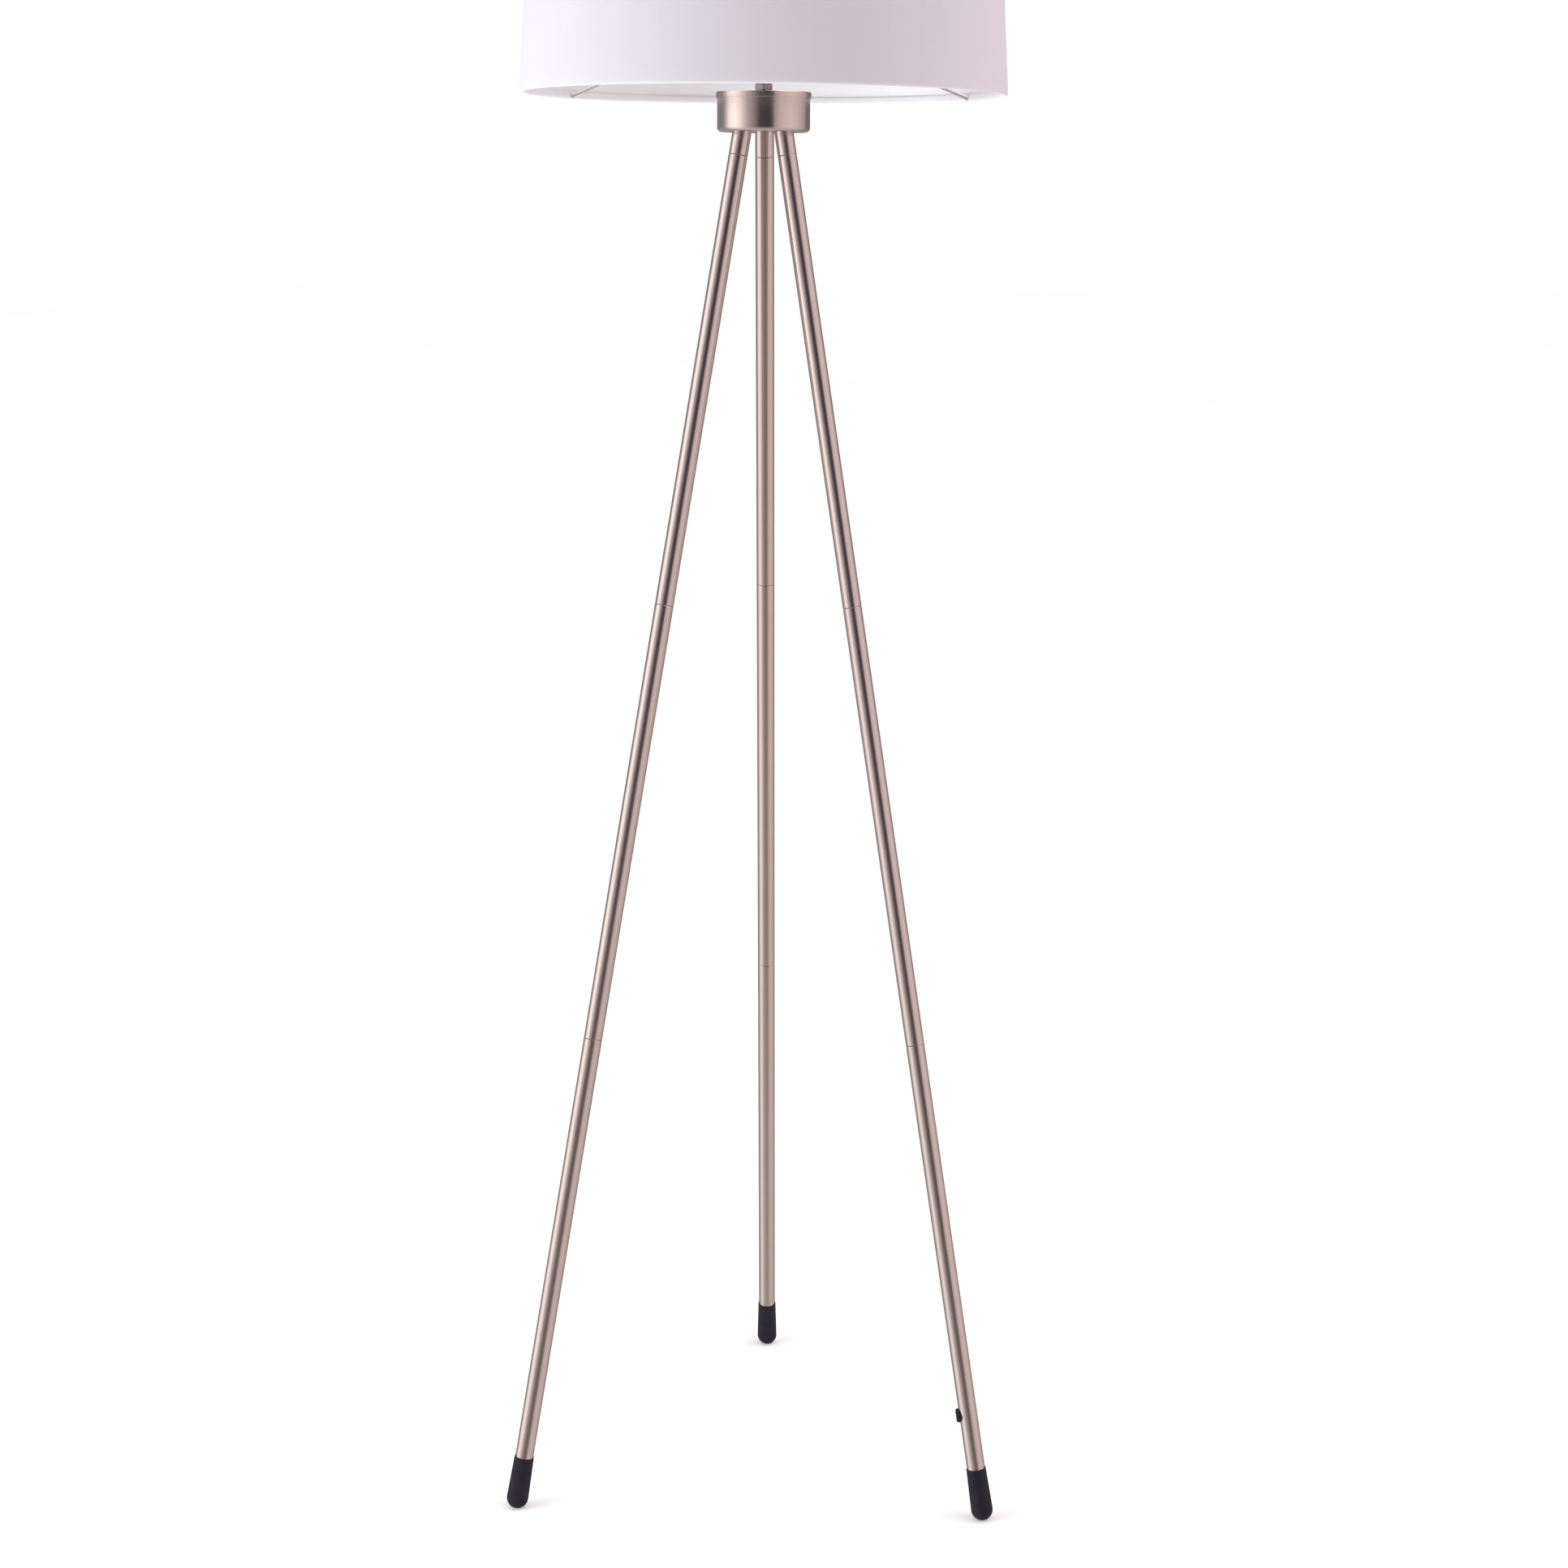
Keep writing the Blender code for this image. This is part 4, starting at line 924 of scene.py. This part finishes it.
def switch(matrix):
    """The shaft and the fluted knob that turns it, along the frame's Z."""
    low, high, _, outer = extent("switch_shaft", matrix)
    corners = [(0.0, high, 0), (outer, high, 0.4 * MM), (outer, low, 0.3 * MM), (0.0, low, 0)]
    shaft = lathe("switch_spindle", fillet(corners), turns=48)
    install(shaft, "switch", "switch_shaft", "brass", matrix)

    spindle_end = high
    low, high, bore, outer = extent("switch_knob", matrix)
    fluted_from = low + 3.4 * MM
    collar = outer - 1.2 * MM
    grip = fillet([(0.0, high, 0), (outer - 2.2 * MM, high - 0.1 * MM, 1.2 * MM),
                   (outer, high - 1.3 * MM, 0.9 * MM), (outer, fluted_from, 0)], steps=5)[:-1]
    grip += upright(outer, high - 1.9 * MM, low + 3.7 * MM, 8)
    back = fillet([(outer, low + 3.8 * MM, 0), (outer, low + 3.2 * MM, 0.3 * MM),
                   (collar, low + 2.8 * MM, 0.2 * MM), (collar, low, 0.3 * MM), (bore, low, 0.2 * MM),
                   (bore, spindle_end + GAP, 0.1 * MM), (0.0, spindle_end + GAP, 0)])
    grooves = flutes(KNOB_FLUTES, 0.45 * MM, 3, outer - 0.5 * MM, fluted_from)
    knob = lathe("switch_grip", grip + back, turns=192, shape=grooves)
    install(knob, "switch", "switch_knob", "phenolic", matrix)


def socket():
    switch_z = JOINTS["switch_turn"]["pos_m"][2]
    lie = Matrix.Rotation(pi / 2, 4, "Y")
    switch_frame = LAMP_FRAME @ Matrix.Translation((0, 0, switch_z)) @ lie
    socket_cap()
    socket_body(switch_frame)
    screw_shell()
    centre_contact()
    switch(switch_frame)


# ---- bulb

BULB_TANGENT = -21.0  # where the flare meets the ball, in degrees from its widest
# The flare in millimetres: out from the neck, and up from the top of the cap.
BULB_FLARE = ((0.0, 0.8), (0.8, 3.0), (2.3, 5.8), (5.9, 14.9), (9.95, 25.5), (13.6, 35.0))


def bulb_cap():
    """The threaded cap, closed round the contact at its lower end."""
    low, cap_top, throat, radius = extent("bulb_cap")
    depth, wall = 0.8 * MM, 0.4 * MM
    shoulder, top = low + 4.6 * MM, cap_top - 3.0 * MM
    skirt, inside = radius - depth / 2, radius - depth - wall
    profile = [(skirt, cap_top, 0.5), (skirt, cap_top - 0.6 * MM, 0.0),
               (radius - 0.1 * MM, top + 0.6 * MM, 0.0)]
    profile += upright(radius, top + 0.4 * MM, shoulder - 0.2 * MM, 96)
    profile += fillet([
        (radius, shoulder - 0.1 * MM, 0), (radius - 0.5 * MM, shoulder - 0.5 * MM, 0.5 * MM),
        (throat + 4.4 * MM, shoulder - 2.2 * MM, 1.2 * MM), (throat, low + 0.6 * MM, 0),
    ])
    profile += [(throat, low + 1.1 * MM, 0), (throat + 4.0 * MM, shoulder - 1.4 * MM, 0),
                (inside, shoulder + 1.2 * MM, 0), (inside, cap_top, 0)]
    screw = thread(SCREW_PITCH, depth, shoulder, top + 0.4 * MM, 0.5, inside + 0.1 * MM)
    cap = lathe("bulb_screw_cap", profile, closed=True, shape=screw)
    install(cap, "bulb", "bulb_cap", "bulb_cap_metal")


def bulb_contact():
    low, high, _, outer = extent("bulb_contact")
    corners = [(0.0, high, 0), (outer, high, 0.2 * MM), (outer, low + 1.6 * MM, 0.4 * MM),
               (2.6 * MM, low, 0.8 * MM), (0.0, low, 0)]
    contact = lathe("bulb_button", fillet(corners), turns=64)
    install(contact, "bulb", "bulb_contact", "brass")


def bulb_glass():
    """The envelope: out of the cap, through a flare and round the ball, one hollow skin."""
    _, cap_top, _, radius = extent("bulb_cap")
    low, high, _, ball = extent("bulb_glass")
    neck, centre, thick = radius - 1.6 * MM, high - ball, 0.8 * MM
    tangent = radians(BULB_TANGENT)
    points = [(neck, low)] + [(neck + out * MM, cap_top + up * MM) for out, up in BULB_FLARE]
    points.append((ball * cos(tangent), centre + ball * sin(tangent)))
    side = smooth(points, 6)
    side += [(r, z) for r, z, _ in bow((0.0, centre), ball, BULB_TANGENT, 90.0, 34)][1:-1]
    side.reverse()
    outside = [(0.0, centre + ball)] + side
    inside = [(0.0, centre + ball - thick)]
    inside += [(max(r - thick, 0.0), z - thick * max(z - centre, 0.0) / ball) for r, z in side]
    profile = [(r, z, 0.0) for r, z in outside + inside[::-1]]
    envelope = lathe("bulb_envelope", profile, turns=128)
    install(envelope, "bulb", "bulb_glass", "frosted_glass")


def smooth(points, steps):
    """A Catmull-Rom curve through points in the profile plane."""
    pads = [points[0]] + points + [points[-1]]
    out = []
    for a, b, c, d in zip(pads, pads[1:], pads[2:], pads[3:]):
        for k in range(steps):
            t = k / steps
            out.append(tuple(
                0.5 * (2 * b[i] + (c[i] - a[i]) * t + (2 * a[i] - 5 * b[i] + 4 * c[i] - d[i]) * t * t
                       + (3 * b[i] - a[i] - 3 * c[i] + d[i]) * t ** 3)
                for i in (0, 1)))
    return out + [points[-1]]


# ---- shade

CLOTH = 0.45 * MM
WRAP = 2.03 * MM  # from a wire's middle to the middle of the cloth round it
HEM_TAIL = 4.2 * MM
HEM_LEAN = 10.0
HEM_CURL = 0.4 * MM
HEM_POINTS = 17  # how many points of the cloth's path each hem takes
SEAM_AT = radians(96.0)  # at the back
SEAM_WIDTH = 11.0 * MM
OVERLAP = 0.42 * MM
CLOTH_TURNS = 288
HEM_LIGHT_MARK = 0.85  # the mark that has the turned-in hems painted paler: painted light, as from the white floor below
WIRE_RADIUS = 1.5 * MM
SPOKES = ("front", "rear_left", "rear_right")
NUT_RIBS = 40


def wire_centre(cad_node):
    low, high, _, outer = extent(cad_node)
    return outer - (high - low) / 2, (high + low) / 2


def shade():
    bottom, top = wire_centre("shade_bottom_wire"), wire_centre("shade_top_wire")
    path = hem_tail(top, -1.0)[::-1] + bow(top, WRAP, 180.0 + HEM_LEAN, 2.0, 18)
    path += line((top[0] + WRAP, top[1]), (bottom[0] + WRAP, bottom[1]), 26)
    path += bow(bottom, WRAP, 0.0, -180.0 - HEM_LEAN, 20) + hem_tail(bottom, 1.0)
    path = [spot[:2] for spot in path]
    sheet = cloth_cone(path)
    sheet.matrix_world = LAMP_FRAME
    spokes = {where: spoke_points(where) for where in SPOKES}
    carve(sheet, [slit(points) for points in spokes.values()])
    install(sheet, "shade", "shade_fabric", "shade_cloth")
    sheet.visible_glossy = False

    low, high, inner, outer = extent("shade_liner")
    wall = 0.5 * MM
    corners = [
        (inner + wall, high, 0.1 * MM), (outer, low, 0.1 * MM),
        (outer - wall, low, 0.1 * MM), (inner, high, 0.1 * MM),
    ]
    lining = turned_ring("shade_lining", corners, steps=2, turns=240)
    install(lining, "shade", "shade_liner", "shade_liner")
    lining.visible_glossy = False

    for place, centre in (("bottom", bottom), ("top", top)):
        cad_node = "shade_" + place + "_wire"
        low, high, _, _ = extent(cad_node)
        section = bow(centre, (high - low) / 2, 0.0, 337.5, 15)
        ring = lathe(place + "_wire", section, closed=True, turns=240)
        install(ring, "shade", cad_node, "plated_wire")

    low, high, inner, outer = extent("shade_fitter_ring")
    corners = [
        (outer, high, 0.35 * MM), (outer, low, 0.35 * MM),
        (inner, low, 0.2 * MM), (inner, high, 0.35 * MM),
    ]
    fitter = turned_ring("fitter_ring", corners, turns=120)
    install(fitter, "shade", "shade_fitter_ring", "plated_wire")
    for where, points in spokes.items():
        spoke(where, points)


def hem_tail(wire, upward):
    """The turned-in edge past its wire: it leans back, and its end curls over to the liner."""
    lean = radians(HEM_LEAN)
    start, way = Vector((-WRAP * cos(lean), WRAP * sin(lean))), Vector((sin(lean), cos(lean)))
    bend, end = start + way * 2.2 * MM, Vector((HEM_CURL, HEM_TAIL))
    knee = bend + way * (HEM_TAIL - bend.y) * 0.85
    spots = [start.lerp(bend, 0.5), bend]
    spots += [bend.lerp(knee, t).lerp(knee.lerp(end, t), t) for t in (0.25, 0.5, 0.75, 1.0)]
    return [(wire[0] + spot.x, wire[1] + upward * spot.y) for spot in spots]


def cloth_cone(path):
    """The cloth, with thickness, a glued overlap at the back and slightly uneven turned-in edges."""
    outer, inner = [], []
    for k, spot in enumerate(path):
        ahead = Vector(path[min(k + 1, len(path) - 1)]) - Vector(path[max(k - 1, 0)])
        normal = Vector((-ahead.y, ahead.x)).normalized()
        outer.append(tuple(Vector(spot) + normal * CLOTH / 2))
        inner.append(tuple(Vector(spot) - normal * CLOTH / 2))
    loop = outer + inner[::-1]
    count = len(path)
    radius = path[count // 2][0]
    seam_turn, edge = SEAM_WIDTH / radius, OVERLAP / radius * 0.5
    extra = [SEAM_AT + turn + side for turn in (0.0, seam_turn) for side in (-edge, edge)]
    even = [2 * pi * k / CLOTH_TURNS for k in range(CLOTH_TURNS)]
    angles = sorted([a for a in even if all(abs(a - e) > 0.002 for e in extra)] + extra)
    tails = {0, count - 1, count, 2 * count - 1}

    def drape(angle, radius, height, index):
        outside = index < count
        into = min(angle - SEAM_AT, SEAM_AT + seam_turn - angle)
        lift = min(max(into / (2 * edge) + 0.5, 0.0), 1.0) * OVERLAP if outside else 0.0
        swell = 0.10 * MM * sin(5 * angle + 0.7) + 0.06 * MM * sin(11 * angle + 2.1)
        swell += 0.03 * MM * sin(29 * angle)
        if index in tails:
            wave = 0.35 * MM * sin(9 * angle + 1.3) + 0.22 * MM * sin(23 * angle + 0.4)
            height += wave if index in (count - 1, count) else -wave
        return radius + lift + swell, height

    # The hems' points carry the mark that paints them paler, as painted light.
    hem_light_marks = [HEM_LIGHT_MARK if min(k, count - 1 - k) < HEM_POINTS else 0.0 for k in range(count)]
    points = [(r, z, rub) for (r, z), rub in zip(loop, hem_light_marks + hem_light_marks[::-1])]
    return lathe("shade_cloth", points, closed=True, shape=drape, angles=angles)


def spoke_points(where):
    """The spoke's path: welded to the ring, level for a little way, then down to the bottom wire."""
    away = middle("shade_spoke_" + where) - LAMP
    turn = atan2(away.y, away.x)
    low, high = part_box("shade_fitter_ring")
    ring_radius, ring_z = (high.x - low.x) / 2, (low.z + high.z) / 2
    wire = wire_centre("shade_bottom_wire")
    bend = ring_radius + 5.0 * MM
    stations = [
        (ring_radius - 0.9 * MM, ring_z), (bend - 1.5 * MM, ring_z),
        (bend, ring_z - 0.12 * MM), (bend + 1.5 * MM, ring_z - 0.48 * MM),
    ]
    end = (wire[0] - 1.4 * MM, wire[1] + 0.3 * MM)
    stations += [p[:2] for p in line(stations[-1], end, 8)] + [end]
    return [(LAMP.x + r * cos(turn), LAMP.y + r * sin(turn), z) for r, z in stations]


def slit(points):
    """A round cutting tool where a spoke's end passes through the turned-in hem."""
    end, before = Vector(points[-1]), Vector(points[-2])
    along = (end - before).normalized()
    matrix = Matrix.Translation(end) @ along.to_track_quat("Z", "Y").to_matrix().to_4x4()
    return bar("slit", 1.9 * MM, -7.0 * MM, 0.6 * MM, matrix, turns=32)


def spoke(where, points):
    curve = bpy.data.curves.new("spoke_path", "CURVE")
    curve.dimensions = "3D"
    curve.bevel_depth = WIRE_RADIUS
    curve.bevel_resolution = 6
    curve.use_fill_caps = True
    spline = curve.splines.new("POLY")
    spline.points.add(len(points) - 1)
    for point, spot in zip(spline.points, points):
        point.co = (*spot, 1.0)
    path = bpy.data.objects.new("spoke_path", curve)
    bpy.context.scene.collection.objects.link(path)
    work = bmesh.new()
    work.from_mesh(evaluated(path))
    bpy.data.objects.remove(path, do_unlink=True)
    bmesh.ops.remove_doubles(work, verts=work.verts, dist=0.01 * MM)
    bmesh.ops.recalc_face_normals(work, faces=work.faces)
    made = new_object("spoke_" + where, work)
    install(made, "shade", "shade_spoke_" + where, "plated_wire", WORLD)


def ring_nut():
    """The ribbed collar that clamps the shade's fitter ring to the socket."""
    low, high, inner, outer = extent("shade_ring_nut")
    step, ledge = 1.6 * MM, low + 3.0 * MM
    corners = [
        (inner, high, 0.4 * MM), (outer - step, high, 0.6 * MM),
        (outer - step, ledge + 0.6 * MM, 0.3 * MM), (outer, ledge, 0.4 * MM),
        (outer, low, 0.4 * MM), (inner, low, 0.3 * MM),
    ]
    grooves = flutes(NUT_RIBS, 0.5 * MM, 2, outer - step - 0.6 * MM)
    nut = turned_ring("shade_collar", corners, turns=320, shape=grooves)
    install(nut, "ring_nut", "shade_ring_nut", "phenolic")


def carried_over():
    """The pieces that keep their CAD mesh, out of sight inside the others, get their finishes."""
    slots = {part["node"]: part["material_slot"] for part in frame["record"]["subparts"]}
    for name, made in frame["nodes"].items():
        if not made.hide_render:
            dress(made, slots[name])


make_camera()
make_world()
make_light("key", (-1.9, -1.3, 2.1), (0.0, 0.0, 1.0), 1.4, 5.0, (0.95, 1.03, 1.10))
make_light("low_fill", (-1.7, -0.7, 0.55), (0.15, 0.05, 1.3), 1.0, 18.5, (0.96, 1.06, 1.12))
make_light("right_fill", (2.0, -0.30, 1.45), (0.15, 0.0, 1.35), 0.8, 5.0, (1.0, 0.70, 0.74))
make_floor()
FINISHES = make_finishes()
legs()
hub_cup()
hub_cover()
cover_washer()
cover_nut()
socket()
bulb_cap()
bulb_contact()
bulb_glass()
shade()
ring_nut()
carried_over()
